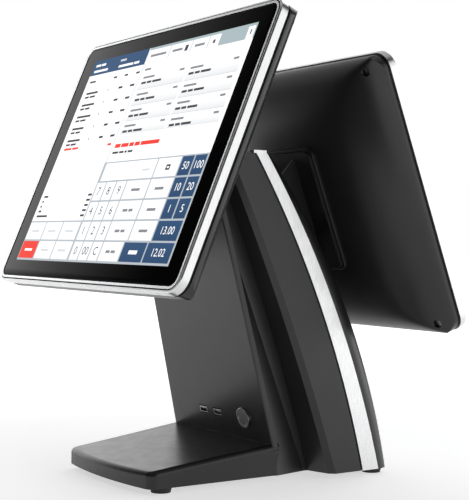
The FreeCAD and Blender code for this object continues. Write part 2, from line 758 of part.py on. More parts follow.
def foot_block(name, inset, bottom, top_drop):
    """The wedge-shaped foot: bowed front, sides that spread towards the column."""
    front_corner = Dims.foot_front_y + Dims.foot_bow + inset
    front_middle = Dims.foot_front_y + inset
    front_half = Dims.foot_front_half - inset
    rear_y = Dims.foot_rear_y
    sections = []
    for height, wide in ((as_size(0), Dims.foot_low_rear_half),
                         (Dims.foot_loft_height, Dims.foot_high_rear_half)):
        half = wide - inset
        sketch = doc.addObject("Sketcher::SketchObject", "FootOutline")
        sketch.setExpression("Placement.Base.z", height.text)
        outline(sketch, [(-front_half, front_corner, (0, front_middle)),
                         (front_half, front_corner), (half, rear_y), (-half, rear_y)])
        sections.append(sketch)
    loft = doc.addObject("Part::Loft", "FootLoft")
    loft.Sections = sections
    loft.Solid = True
    loft.Ruled = True
    margin = 20
    top = Dims.foot_front_top - top_drop
    low_y = Dims.foot_front_y - margin
    high_y = Dims.foot_rear_y + margin
    side = prism("FootSide", "YZ_Plane",
                 [(low_y, bottom), (high_y, bottom),
                  (high_y, top + Dims.foot_slope * (high_y - Dims.foot_front_y)),
                  (low_y, top - Dims.foot_slope * margin)], FAR)
    return common(name, [loft, side])


def rounded_foot():
    """The foot's outside with round front corners and a soft top edge."""
    block = foot_block("FootBlock", as_size(0), Dims.foot_clearance, 0)
    front = (Dims.foot_front_y + Dims.foot_bow).value

    def is_corner(edge, middle):
        at_side = abs(abs(middle.x) - Dims.foot_front_half.value) < 1
        return at_side and abs(middle.y - front) < 1 and edge.Length < 30

    corners = round_edges("FootCorners", block, Dims.foot_corner, is_corner)

    def is_top(edge, middle):
        rise = Dims.foot_slope.value * (middle.y - Dims.foot_front_y.value)
        on_top = abs(middle.z - Dims.foot_front_top.value - rise) < 0.1
        return on_top and middle.y < Dims.foot_rear_y.value - 0.5

    return round_edges("FootTopEdge", corners, Dims.foot_edge_round, is_top)


def channel_walls(inset):
    """A block whose sides run inwards from the front panel to the side covers."""
    lean = (Dims.wing_low_y - Dims.wing_top_y) / (Dims.stand_top_z - Dims.foot_clearance)
    sections = []
    for height in (-10, 340):
        wide = channel_half_at(height) - inset
        narrow = narrow_half_at(height) - inset
        start = panel_y(height) + Dims.panel_thickness - 2
        end = Dims.wing_low_y - Dims.wing_slant * 2 - lean * (height - Dims.foot_clearance)
        rear = Dims.back_low_y
        sketch = doc.addObject("Sketcher::SketchObject", "ChannelOutline")
        sketch.Placement.Base.z = height
        right = [(wide, start - 40), (wide, start), (narrow, end), (narrow, rear)]
        outline(sketch, right + [(-x, y) for x, y in reversed(right)])
        sections.append(sketch)
    loft = doc.addObject("Part::Loft", "ChannelWalls")
    loft.Sections = sections
    loft.Solid = True
    loft.Ruled = True
    return loft


def core_block(name, inset, front, low_front, bottom, back_shift):
    """The column between the side covers, behind the front panel and the foot."""
    low = as_size(bottom)
    high = Dims.panel_top_z
    joint = Dims.panel_foot_z
    low_corner, top_corner = wing_edge(back_shift)
    corners = [(low_front, low), low_corner, top_corner, (panel_y(high) + front, high),
               (panel_y(joint) + front, joint), (low_front, joint)]
    if low.value < low_corner[1].value:
        corners.insert(1, (low_corner[0], low))
    side = prism("CoreSide", "YZ_Plane", corners, FAR)
    return common(name, [side, channel_walls(inset)])


def front_panel_slab():
    """The leaning front panel, wider than the column so that its edges stand proud."""
    low = Dims.panel_foot_z - 6
    high = Dims.panel_top_z
    side = prism("PanelSide", "YZ_Plane",
                 [(panel_y(low), low), (panel_y(low) + Dims.panel_thickness, low),
                  (panel_y(high) + Dims.panel_thickness, high), (panel_y(high), high)], FAR)
    block = common("PanelSlab", [side, full_width("PanelWidth", panel_half_at)])

    def is_front_edge(edge, middle):
        return abs(middle.y - panel_y(middle.z).value) < 0.05 and edge.Length > 200

    return round_edges("PanelEdges", block, 1.5, is_front_edge)


# Pieces in the front panel are drawn in its own frame: X right, Y up the panel,
# Z out of it, origin on its face in the middle, at the height of the ports.
panel_frame = Placement(
    Vector(0, panel_y(Dims.port_height).value, Dims.port_height.value),
    Rotation(Vector(1, 0, 0), 90 + math.degrees(math.atan(Dims.panel_lean.value))))
PORT_XS = (Dims.port_left_x, Dims.port_right_x)
BASE_SCREWS = ((-58, -92), (58, -92), (-58, -12), (58, -12))


def front_cover():
    """One moulding: the foot, the front panel and the recessed sides of the column."""
    wall = Dims.shell_wall
    column = core_block("CoreOuter", as_size(0), 2, Dims.foot_rear_y - 1, Dims.foot_clearance, 8)
    outside = fuse("FrontOutside", [rounded_foot(), front_panel_slab(), column])
    foot_hollow = foot_block("FootHollow", wall, -1, wall)
    core_hollow = core_block("CoreHollow", wall, 5, Dims.foot_rear_y - 2, -1, 40)
    hollowed = cut("Hollowed", outside, fuse("Hollow", [foot_hollow, core_hollow]))
    well = slab("HingeWell", (-Dims.hinge_well_half, -120, Dims.hinge_well_z),
                (Dims.hinge_well_half, 60, 320))
    ports = [slab("PortHole", (x - 7.3, -3.9, -12), (x + 7.3, 3.9, 2)) for x in PORT_XS]
    button = rod("ButtonHole", BEZEL_RADIUS - 0.8, (Dims.button_x, 0, -12), 14)
    panel_holes = fuse("PanelHoles", ports + [button])
    panel_holes.Placement = panel_frame
    opened = cut("Opened", hollowed, fuse("FrontOpenings", [well, panel_holes]))
    posts = common("Posts", [
        fuse("PostRods", [rod("Post", 4.5, (x, y, Dims.foot_clearance + Dims.steel + 0.1), 40)
                          for x, y in BASE_SCREWS]),
        foot_block("PostLimit", as_size(0.5), 0, 1)])
    with_posts = fuse("WithPosts", [opened, posts])
    bores = fuse("PostBores", [rod("Bore", M3_RADIUS + SCREW_SLACK, (x, y, 0), 16)
                               for x, y in BASE_SCREWS])
    return keep(cut("FrontCover", with_posts, bores), "front_cover")


def wing_loft(name, shift, rear_shift):
    """Block behind the side cover's front face, which reaches forward at the channel."""
    inner_x = Dims.channel_half - 40
    outer_x = Dims.outer_half + 5
    per_width = Dims.wing_slant / (Dims.outer_half - Dims.channel_half)
    sections = []
    for x in (inner_x, outer_x):
        slant = per_width * (x - Dims.outer_half)
        sketch = doc.addObject("Sketcher::SketchObject", "WingOutline")
        sketch.Placement = Placement(Vector(0, 0, 0), Rotation(Vector(1, 1, 1), 120))
        sketch.setExpression("Placement.Base.x", x.text)
        outline(sketch, between(wing_edge(shift, slant), strip_rear(rear_shift)))
        sections.append(sketch)
    loft = doc.addObject("Part::Loft", name)
    loft.Sections = sections
    loft.Solid = True
    loft.Ruled = True
    return loft


def side_cover():
    """Right side cover: outer wall, front wall with a bevelled edge, bed for the trim."""
    wall = Dims.shell_wall + 0.5
    gap = Dims.part_gap
    outer = common("WingOuter", [
        wing_loft("WingOuterLoft", 0, 0),
        upright("WingWidth", lambda z: narrow_half_at(z) + gap, outer_half_at)])

    def is_front_edge(edge, middle):
        at_side = abs(middle.x - outer_half_at(middle.z).value) < 0.3
        return at_side and edge.Length > 250 and middle.y < Dims.wing_mid_y.value + 6

    doc.recompute()
    bevel = doc.addObject("Part::Chamfer", "WingBevel")
    bevel.Base = outer
    size = Dims.wing_chamfer.value
    bevel.Edges = [(number, size, size) for number, edge in enumerate(outer.Shape.Edges, start=1)
                   if is_front_edge(edge, edge.valueAt((edge.FirstParameter + edge.LastParameter) / 2))]
    hollow = common("WingInner", [
        wing_loft("WingInnerLoft", wall + 1.5, 60),
        upright("WingInnerWidth", lambda z: channel_half_at(z) - 35,
                lambda z: outer_half_at(z) - wall)])
    bed_depth = Dims.strip_thickness - Dims.strip_proud + 0.2
    bed = common("TrimBed", [
        prism("TrimBedSide", "YZ_Plane", between(strip_front(), strip_rear(60)), FAR),
        upright("TrimBedWidth", lambda z: outer_half_at(z) - bed_depth,
                lambda z: outer_half_at(z) + 10)])
    top = Dims.stand_top_z
    nose = Dims.wing_top_y
    relief = common("HeadRelief", [
        prism("ReliefSide", "YZ_Plane",
              [(nose - 3, top - 6), (nose + 6, top + 2), (nose - 3, top + 2)], FAR),
        slab("ReliefWidth", (Dims.channel_half - 20, nose - 10, top - 10),
             (Dims.channel_half - 3, nose + 10, top + 5))])
    shell = cut("SideCover", bevel, fuse("WingCuts", [hollow, bed, relief]))
    keep(shell, "side_cover_right")
    keep(mirrored(shell, "SideCoverLeft"), "side_cover_left")


def trim_strip():
    """Silver trim: a curved strip on the side cover with its top folded inwards."""
    back = Dims.strip_thickness - Dims.strip_proud
    face = common("TrimFace", [
        prism("TrimSide", "YZ_Plane",
              between(strip_front(Dims.strip_groove), strip_rear(-0.1)), FAR),
        upright("TrimWidth", lambda z: outer_half_at(z) - back,
                lambda z: outer_half_at(z) + Dims.strip_proud)])
    top = Dims.stand_top_z
    side = outer_half_at(top) + Dims.strip_proud
    cap = slab("TrimCap", (side - 8, Dims.strip_front_top_y - 1, top + 0.15),
               (side, Dims.strip_rear_top_y - 1, top + 3))
    neck = slab("TrimNeck", (side - Dims.strip_thickness, Dims.strip_front_top_y + 2, top - 1),
                (side, Dims.strip_rear_top_y - 1, top + 1))
    strip = fuse("TrimStrip", [face, cap, neck])
    keep(strip, "trim_strip_right")
    keep(mirrored(strip, "TrimStripLeft"), "trim_strip_left")


def stand_rear_cover():
    """Back of the stand: curved rear wall and the two sides up to the trim strips."""
    wall = Dims.shell_wall
    gap = Dims.part_gap
    round_start = Dims.strip_rear_mid_y.value + 8

    def is_back_edge(edge, middle):
        near_side = abs(middle.x) > outer_half_at(middle.z).value - wall.value - 0.5
        return near_side and edge.Length > 250 and middle.y > round_start

    outer = common("RearOuter", [
        prism("RearSide", "YZ_Plane", between(strip_rear(gap), back_edge()), FAR),
        full_width("RearWidth", outer_half_at)])
    rounded = round_edges("RearRounded", outer, Dims.back_round, is_back_edge)
    inner = common("RearInner", [
        prism("RearInnerSide", "YZ_Plane", between(strip_rear(-40), back_edge(-wall)), FAR),
        full_width("RearInnerWidth", lambda z: outer_half_at(z) - wall)])
    hollow = round_edges("RearHollow", inner, Dims.back_round - wall, is_back_edge)
    arm_window = slab("ArmWindow", (-54, 10, 216), (54, 100, 270))
    io_window = slab("IoWindow", (-64, 110, 13), (64, 150, 42))
    slots = [slab("Vent", (-45, 60, 100 + 9 * row), (45, 130, 104 + 9 * row)) for row in range(6)]
    shell = cut("RearCoverStand", rounded,
                fuse("RearCuts", [hollow, arm_window, io_window] + slots))
    return keep(shell, "stand_rear_cover")


def top_cap():
    """Lid between the side covers, with a notch for the main hinge."""
    top = Dims.stand_top_z - 0.4
    half = outer_half_at(top) - Dims.shell_wall - 1.2
    rear = Dims.back_top_y - 4.2
    plate = slab("TopPlate", (-half, Dims.wing_top_y + 10.5, top - 2.5), (half, rear, top))
    notch = slab("TopNotch", (-Dims.hinge_well_half, Dims.wing_top_y, top - 10),
                 (Dims.hinge_well_half, Dims.wing_top_y + 30, top + 5))

    def is_rear_corner(edge, middle):
        return edge.Length < 3 and middle.y > rear.value - 1

    rounded = round_edges("TopRounded", plate, Dims.back_round - 3, is_rear_corner)
    return keep(cut("TopCap", rounded, notch), "top_cap")


def base_plate():
    """Steel floor of the stand, narrow in the foot and wide under the side covers."""
    body = new_body("base_plate")
    wall = Dims.shell_wall + 0.4
    narrow = Dims.foot_front_half - wall
    neck = Dims.foot_low_rear_half - wall
    wide = Dims.outer_half - Dims.shell_wall - 1.3
    front = Dims.foot_front_y + Dims.foot_bow + wall
    waist = narrow_half_at(Dims.foot_clearance) - wall
    step = Dims.wing_low_y + 10
    rear = Dims.back_low_y - Dims.shell_wall - 1.5
    right = [(narrow - 10, front), (narrow, front + 10), (neck, Dims.foot_rear_y),
             (waist, Dims.wing_low_y - 2.5 * Dims.wing_slant), (waist, step), (wide, step),
             (wide, rear - 8), (wide - 8, rear)]
    left = [(-x, y) for x, y in reversed(right)]
    sketch = sketch_on(body, "XY_Plane", Dims.foot_clearance)
    outline(sketch, right + left)
    pad(body, sketch, Dims.steel)
    holes = sketch_on(body, "XY_Plane", Dims.foot_clearance)
    for x, y in FEET:
        circle(holes, x, y, PEG_RADIUS + SCREW_SLACK)
    for x, y in BASE_SCREWS:
        circle(holes, x, y, M3_RADIUS + 0.2)
    pocket_through(body, holes)
    return keep(body, "base_plate")


def rubber_feet():
    """Four tapered rubber feet, each with a peg through the base plate."""
    pads = []
    for x, y in FEET:
        cone = doc.addObject("Part::Cone", "Pad")
        cone.setExpression("Radius1", Dims.pad_bottom_radius.text)
        cone.setExpression("Radius2", Dims.pad_top_radius.text)
        cone.setExpression("Height", Dims.foot_clearance.text)
        cone.setExpression("Placement.Base.x", as_size(x).text)
        cone.setExpression("Placement.Base.y", as_size(y).text)
        peg = rod("Peg", PEG_RADIUS, (x, y, Dims.foot_clearance - 0.5), Dims.steel + 2)
        pads.append(fuse("RubberFoot", [cone, peg]))
    return keep(group("RubberFeet", pads), "rubber_feet")


def base_screws():
    """Screws from below into the posts of the front cover."""
    screws = []
    for x, y in BASE_SCREWS:
        shank = rod("Shank", M3_RADIUS, (x, y, Dims.foot_clearance), 10)
        head = rod("Head", 2.8, (x, y, Dims.foot_clearance - 1.8), 1.8)
        screws.append(fuse("BaseScrew", [shank, head]))
    return keep(group("BaseScrews", screws), "base_screws")


def column_frame():
    """Sheet-steel column that carries both hinges: two cheeks, a web and floor flanges."""
    floor = Dims.foot_clearance + Dims.steel
    cheek = [(24, floor), (104, floor), (68, Dims.stand_mid_z), (-3, 288), (-45, 288)]
    inside = Dims.frame_half
    pieces = [prism("Cheek", "YZ_Plane", cheek, Dims.steel, inside),
              prism("Cheek", "YZ_Plane", cheek, Dims.steel, -(inside + Dims.steel)),
              slab("Web", (-inside - 0.5, 40, floor), (inside + 0.5, 42, Dims.stand_mid_z))]
    for low, high in ((inside - 10, inside + 0.5), (-inside - 0.5, 10 - inside)):
        pieces.append(slab("Flange", (low, 50, floor), (high, 98, floor + Dims.steel)))
    return keep(fuse("ColumnFrame", pieces), "column_frame")


def lugs(name, profile, inner_x, thickness):
    """The same ear on both sides of the middle."""
    return [prism(name, "YZ_Plane", profile, thickness, inner_x),
            prism(name, "YZ_Plane", profile, thickness, -(as_size(inner_x) + thickness))]


def pivot_point(centre_y, centre_z, tilt, back, faces_customer):
    """Height and depth of a tilt axis behind the middle of a glass."""
    angle = math.radians(tilt.value)
    sign = -1 if faces_customer else 1
    return (centre_y.value + sign * back.value * math.cos(angle),
            centre_z.value - back.value * math.sin(angle))


def hinge_bracket(label, pivot, ear_profile, ear_x, shelf):
    """Cross plate between the column's cheeks with two ears for the hinge pin."""
    (front, rear), height = shelf
    half = Dims.frame_half - 0.1
    plate = slab("Shelf", (-half, front, height), (half, rear, height + 4))
    solid = fuse("Bracket", [plate] + lugs("Lug", ear_profile, ear_x, LUG_THICKNESS))
    bore = rod("PinBore", bore_radius, (-FAR / 2,) + pivot, FAR, (1, 0, 0))
    return keep(cut("DrilledBracket", solid, bore), label)


def hinge_pin(label, pivot, half_length, washer_x):
    """Headed pin through all four ears, and the friction washers between the ears."""
    pieces = [rod("Pin", Dims.pin_radius, (-half_length,) + pivot, 2 * half_length, (1, 0, 0))]
    for x in (-half_length - 2, half_length):
        pieces.append(rod("PinHead", 7, (x,) + pivot, 2, (1, 0, 0)))
    keep(fuse("HingePin", pieces), f"{label}_pin")
    washers = []
    for x in (-washer_x - Dims.washer_thickness, washer_x):
        disc = rod("Disc", 8.4, (x,) + pivot, Dims.washer_thickness, (1, 0, 0))
        hole = rod("DiscHole", bore_radius + 0.1, (x - 1,) + pivot, 3, (1, 0, 0))
        washers.append(cut("Washer", disc, hole))
    keep(group("Washers", washers), f"{label}_washers")


# ---------------------------------------------------------------- front panel pieces

BEZEL_RADIUS = 10.0
PEG_RADIUS = 3.0
LUG_THICKNESS = 3.0
FEET = ((-Dims.front_pad_x, Dims.front_pad_y), (Dims.front_pad_x, Dims.front_pad_y),
        (-Dims.rear_pad_x, Dims.rear_pad_y), (Dims.rear_pad_x, Dims.rear_pad_y))


def front_ports():
    """Two metal port shells in the panel, their tongues, and the board behind them."""
    shells = []
    tongues = []
    for x in PORT_XS:
        block = slab("PortShell", (x - 6.6, -2.9, -17.8), (x + 6.6, 2.9, 0.2))
        mouth = slab("PortMouth", (x - 6.1, -2.4, -15), (x + 6.1, 2.4, 1))
        shells.append(cut("Port", block, mouth))
        tongues.append(slab("Tongue", (x - 5.6, 0.2, -14.9), (x + 5.6, 2.1, -1)))
    keep(group("PortShells", shells), "front_port_shells", panel_frame)
    keep(group("PortTongues", tongues), "front_port_tongues", panel_frame)
    board = slab("PanelBoard", (-40, -12, -19.5), (58, 12, -17.9))
    keep(fuse("FrontBoard", [board, slab("Header", (18, -6, -25), (34, 0, -19.4))]),
         "front_port_board", panel_frame)


def power_button():
    """Round push button: bright bezel in the panel, moving cap, switch behind it."""
    x = Dims.button_x
    collar = fuse("BezelSolid", [
        rod("BezelFlange", BEZEL_RADIUS, (x, 0, 0.02), 1.2),
        rod("BezelCollar", BEZEL_RADIUS - 1, (x, 0, -6), 6.5)])
    keep(cut("Bezel", collar, rod("BezelBore", Dims.button_radius + 0.1, (x, 0, -8), 12)),
         "button_bezel", panel_frame)
    cap = fuse("ButtonCap", [rod("Cap", Dims.button_radius, (x, 0, -4), 5),
                             rod("Stem", 2.5, (x, 0, -11), 8)])
    keep(cap, "power_button", panel_frame)
    housing = slab("SwitchBody", (x - 6, -6, -17.8), (x + 6, 6, -9.4))
    bore = rod("SwitchBore", 2.6, (x, 0, -13), 6)
    keep(cut("Switch", housing, bore), "button_switch", panel_frame)


# ---------------------------------------------------------------- inside the stand


def electronics():
    """Main board with its parts in the foot, power board and speaker in the column."""
    floor = Dims.foot_clearance + Dims.steel
    level = floor + 5
    posts = [rod("Standoff", 3, (x, y, floor), 5.2)
             for x in (-45, 45) for y in (-75, -25)]
    board = slab("Board", (-50, -82, level), (50, 20, level + BOARD_THICKNESS))
    sockets = [slab("MemorySocket", (-44, 2, level + 1), (26, 8, level + 5)),
               slab("DriveSocket", (30, -50, level + 1), (34, -28, level + 4.5)),
               slab("Processor", (-14, -54, level + 1), (14, -26, level + 3.5))]
    keep(fuse("MotherBoard", posts + [board] + sockets), "motherboard")
    sink = [slab("SinkBase", (-19, -59, level + 3.6), (19, -21, level + 6))]
    sink += [slab("Fin", (-19 + 4 * fin, -59, level + 5.5), (-17.8 + 4 * fin, -21, level + 10.2))
             for fin in range(10)]
    keep(fuse("HeatSink", sink), "heat_sink")
    memory = fuse("MemoryStick", [
        slab("MemoryBoard", (-42, -20, level + 6.5), (24, 6, level + 7.7)),
        slab("MemoryFoot", (-42, 3, level + 5.1), (24, 6, level + 6.6))])
    keep(memory, "memory_module")
    drive = fuse("SolidStateDrive", [
        slab("DriveBoard", (34.2, -50, level + 2.6), (49, -28, level + 3.6)),
        slab("DriveChip", (37, -46, level + 3.5), (47, -32, level + 4.8))])
    keep(drive, "solid_state_drive")
    power = [slab("PowerBoard", (-50, 43, 50), (50, 44.6, 140)),
             slab("Transformer", (-34, 44.5, 62), (-6, 66, 92)),
             slab("PowerSink", (12, 44.5, 60), (16, 62, 120))]
    power += [rod("Capacitor", 6, (x, 44.5, 122), 20, (0, 1, 0)) for x in (-38, -22, -6)]
    power += [rod("PowerPost", 2.5, (x, 42, z), 1.1, (0, 1, 0)) for x in (-46, 46) for z in (54, 136)]
    keep(fuse("PowerSupply", power), "power_supply_board")
    speaker = fuse("SpeakerSolid", [
        rod("SpeakerBasket", 15, (-26, -105, floor), 3),
        rod("SpeakerMagnet", 9, (-26, -105, floor + 2.9), 3.5)])
    keep(speaker, "speaker")


def rear_io():
    """Connector plate at the bottom of the back, its board and its connectors."""
    floor = Dims.foot_clearance + Dims.steel
    level = floor + 5
    plate = slab("IoPlate", (-66, 120.5, floor), (66, 121.7, 45))
    openings = []
    connectors = []
    spot = -58
    for width, height in ((14, 11), (14, 11), (16, 12), (16, 12), (16, 14), (18, 14)):
        openings.append(slab("IoHole", (spot - 0.3, 118, level + 1.4),
                             (spot + width + 0.3, 124, level + 2 + height + 0.3)))
        block = slab("Connector", (spot, 104, level + 1.6), (spot + width, 123.5, level + 1.7 + height))
        mouth = slab("ConnectorMouth", (spot + 1.2, 111, level + 3.2),
                     (spot + width - 1.2, 126, level + height))
        connectors.append(cut("Jack", block, mouth))
        spot += width + 4.5
    keep(cut("RearPlate", plate, fuse("IoHoles", openings)), "rear_io_plate")
    keep(group("Jacks", connectors), "rear_connectors")
    board = slab("IoBoard", (-61, 72, level), (61, 119, level + BOARD_THICKNESS - 0.1))
    posts = [rod("IoPost", 3, (x, y, floor), 5.1) for x in (-40, 40) for y in (80, 112)]
    keep(fuse("RearBoard", [board] + posts), "rear_io_board")


# ---------------------------------------------------------------- build

main_pivot = pivot_point(Dims.main_centre_y, Dims.main_centre_z, Dims.main_tilt,
                         Dims.main_pivot_back, False)
customer_pivot = pivot_point(Dims.customer_centre_y, Dims.customer_centre_z, Dims.customer_tilt,
                             Dims.customer_pivot_back, True)


def eye_corners(pivot_back, wide_top, wide_bottom, gusset):
    """Outline of a display's ear, from the plate to the round eye and back."""
    plate = -(plate_back - 1)
    eye = Dims.eye_radius
    side = math.sqrt(8) / 3
    low = (-side * eye, -(pivot_back + eye / 3))
    if gusset:
        return [(wide_top, plate), (44, -66), (0.222 * eye, -(pivot_back + 0.975 * eye),
                (-0.556 * eye, -(pivot_back + 0.831 * eye))), low, (-wide_bottom, plate)]
    high = (side * eye, -(pivot_back + eye / 3), (0, -(pivot_back + eye)))
    return [(wide_top, plate), high, low, (-wide_bottom, plate)]


def lug_profile(pivot, corners, start_angle, through_angle, end_angle):
    """Corners of a fixed ear that ends in a round eye about the pivot."""
    eye = Dims.eye_radius.value

    def on_eye(angle):
        turn = math.radians(angle)
        return (pivot[0] + eye * math.cos(turn), pivot[1] + eye * math.sin(turn))

    return corners + [on_eye(start_angle) + (on_eye(through_angle),), on_eye(end_angle)]


main_place = head_placement(Dims.main_centre_y, Dims.main_centre_z, Dims.main_tilt, False)
customer_place = head_placement(Dims.customer_centre_y, Dims.customer_centre_z,
                                Dims.customer_tilt, True)
display_head("main", main_place, Dims.main_plate_width, Dims.main_ear_x, Dims.main_pivot_back,
             eye_corners(Dims.main_pivot_back, 26, 26, False))
display_head("customer", customer_place, Dims.customer_plate_width, Dims.customer_ear_x,
             Dims.customer_pivot_back,
             eye_corners(Dims.customer_pivot_back, 54, 30, True))

front_cover()
side_cover()
trim_strip()
stand_rear_cover()
top_cap()
base_plate()
rubber_feet()
base_screws()
column_frame()
main_lug_x = Dims.main_ear_x + Dims.ear_thickness + 1
customer_lug_x = Dims.customer_ear_x - 1 - LUG_THICKNESS
hinge_bracket("main_hinge_bracket", main_pivot,
              lug_profile(main_pivot, [(-40, 262), (-16, 262)], 30, 90, 200), main_lug_x,
              ((-44, -12), 262))
hinge_bracket("customer_arm", customer_pivot,
              lug_profile(customer_pivot, [(2, 246), (2, 222), (26, 222)], -60, 20, 110),
              customer_lug_x, ((4, 30), 222))
hinge_pin("main_hinge", main_pivot, main_lug_x + LUG_THICKNESS + 0.2, main_lug_x - 0.95)
hinge_pin("customer_hinge", customer_pivot, Dims.customer_ear_x + Dims.ear_thickness + 0.6,
          customer_lug_x + LUG_THICKNESS + 0.05)
front_ports()
power_button()
electronics()
rear_io()

doc.recompute()
for item in doc.Objects:
    if "Invalid" in item.State or "Error" in item.State:
        raise RuntimeError(f"{item.Label} is {item.State}")

# The stand is drawn from a working origin. The part's own origin is under the middle of its
# outline, so every piece moves by the same small step when it is written.
boxes = [part.Shape.optimalBoundingBox(False, False) for part in sub_parts]
middle_y = (min(box.YMin for box in boxes) + max(box.YMax for box in boxes)) / 2
to_outline_middle = Vector(0, -middle_y, 0)
os.makedirs("parts", exist_ok=True)
for part in sub_parts:
    shape = part.Shape
    if shape.isNull() or not shape.isValid():
        raise RuntimeError(f"{part.Label} has no valid shape")
    shape = shape.copy()
    shape.translate(to_outline_middle)
    shape.exportStep(f"parts/{part.Label}.step")
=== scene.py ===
import json
import math

import bmesh
import bpy
from mathutils import Matrix, Vector


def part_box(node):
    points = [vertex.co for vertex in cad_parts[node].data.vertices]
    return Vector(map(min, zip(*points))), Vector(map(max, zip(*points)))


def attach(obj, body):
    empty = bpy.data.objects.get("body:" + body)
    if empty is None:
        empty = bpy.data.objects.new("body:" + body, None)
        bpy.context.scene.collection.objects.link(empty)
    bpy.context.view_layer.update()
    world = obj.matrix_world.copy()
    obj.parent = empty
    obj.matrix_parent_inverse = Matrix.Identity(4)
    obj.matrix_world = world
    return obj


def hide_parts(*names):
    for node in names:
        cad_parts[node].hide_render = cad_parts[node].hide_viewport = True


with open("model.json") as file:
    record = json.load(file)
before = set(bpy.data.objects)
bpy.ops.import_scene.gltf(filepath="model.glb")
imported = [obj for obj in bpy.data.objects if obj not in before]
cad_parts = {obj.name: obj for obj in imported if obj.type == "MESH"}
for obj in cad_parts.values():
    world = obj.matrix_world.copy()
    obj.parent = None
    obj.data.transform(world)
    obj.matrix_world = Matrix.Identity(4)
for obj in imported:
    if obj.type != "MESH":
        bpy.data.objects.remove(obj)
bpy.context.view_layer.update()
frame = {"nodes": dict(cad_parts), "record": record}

# Lengths below are in millimetres unless a comment says otherwise. The shared frame is in
# metres.
MM = 0.001
SMOOTH_ANGLE = math.radians(35)

# ------------------------------------------------------------------ materials


def shade(value):
    """A grey level as a linear colour."""
    return (value, value, value, 1.0)


class Nodes:
    """A material's node tree, with short calls for the nodes used here."""

    def __init__(self, name):
        self.material = bpy.data.materials.new(name)
        self.material.use_nodes = True
        self.tree = self.material.node_tree
        self.tree.nodes.clear()
        self.shader = self.add("ShaderNodeBsdfPrincipled")
        output = self.add("ShaderNodeOutputMaterial")
        self.link(self.shader.outputs["BSDF"], output.inputs["Surface"])
        self.place = self.add("ShaderNodeTexCoord").outputs["Object"]

    def add(self, kind, **settings):
        node = self.tree.nodes.new(kind)
        for key, value in settings.items():
            setattr(node, key, value)
        return node

    def link(self, source, target):
        self.tree.links.new(source, target)

    def put(self, target, value):
        """Links a socket or sets a plain value."""
        if isinstance(value, bpy.types.NodeSocket):
            self.link(value, target)
        else:
            target.default_value = value

    def noise(self, cell_mm, detail=2.0, stretch=(1.0, 1.0, 1.0)):
        """Noise whose cells are about cell_mm across, stretched along the axes."""
        mapping = self.add("ShaderNodeMapping")
        self.link(self.place, mapping.inputs["Vector"])
        mapping.inputs["Scale"].default_value = stretch
        node = self.add("ShaderNodeTexNoise")
        self.link(mapping.outputs["Vector"], node.inputs["Vector"])
        node.inputs["Scale"].default_value = 1.0 / (cell_mm * MM)
        node.inputs["Detail"].default_value = detail
        return node.outputs["Fac"]

    def math(self, operation, first, second=0.0):
        node = self.add("ShaderNodeMath", operation=operation)
        self.put(node.inputs[0], first)
        self.put(node.inputs[1], second)
        return node.outputs[0]

    def spread(self, value, low, high, from_low=0.25, from_high=0.75):
        """Maps a noise value to a range."""
        node = self.add("ShaderNodeMapRange")
        self.put(node.inputs["Value"], value)
        node.inputs["From Min"].default_value = from_low
        node.inputs["From Max"].default_value = from_high
        node.inputs["To Min"].default_value = low
        node.inputs["To Max"].default_value = high
        return node.outputs["Result"]

    def mix(self, factor, first, second):
        node = self.add("ShaderNodeMix", data_type="RGBA")
        self.put(node.inputs["Factor"], factor)
        self.put(node.inputs["A"], first)
        self.put(node.inputs["B"], second)
        return node.outputs["Result"]

    def edge_mask(self, radius_mm):
        """Near 1 along the edges of the shape, 0 on its faces."""
        bevel = self.add("ShaderNodeBevel", samples=4)
        bevel.inputs["Radius"].default_value = radius_mm * MM
        geometry = self.add("ShaderNodeNewGeometry")
        dot = self.add("ShaderNodeVectorMath", operation="DOT_PRODUCT")
        self.link(bevel.outputs["Normal"], dot.inputs[0])
        self.link(geometry.outputs["Normal"], dot.inputs[1])
        return self.spread(dot.outputs["Value"], 1.0, 0.0, 0.8, 0.99)

    def bump(self, height, strength, distance_mm, soften_mm=0.0):
        """A bump from a height, on a normal that is rounded at the edges."""
        node = self.add("ShaderNodeBump")
        node.inputs["Strength"].default_value = strength
        node.inputs["Distance"].default_value = distance_mm * MM
        self.link(height, node.inputs["Height"])
        if soften_mm:
            bevel = self.add("ShaderNodeBevel", samples=4)
            bevel.inputs["Radius"].default_value = soften_mm * MM
            self.link(bevel.outputs["Normal"], node.inputs["Normal"])
        self.link(node.outputs["Normal"], self.shader.inputs["Normal"])


def moulded_plastic(name, dark, light, roughness, grain_mm=0.5, grain=0.12, soften_mm=0.5,
                    wear=0.25):
    """Moulded plastic: fine spark texture, slow colour drift, paler rubbed edges."""
    nodes = Nodes(name)
    drift = nodes.noise(45.0, 3.0)
    smears = nodes.noise(12.0, 4.0, (1.0, 1.0, 0.35))
    body = nodes.mix(nodes.spread(drift, 0.0, 1.0), shade(dark), shade(light))
    rubbed = nodes.math("MULTIPLY", nodes.edge_mask(0.7), nodes.spread(smears, 0.0, wear))
    nodes.link(nodes.mix(rubbed, body, shade(0.16)), nodes.shader.inputs["Base Color"])
    rough = nodes.spread(smears, roughness - 0.03, roughness + 0.04)
    nodes.link(rough, nodes.shader.inputs["Roughness"])
    nodes.bump(nodes.noise(grain_mm, 2.0), grain, 0.05, soften_mm)
    return nodes.material


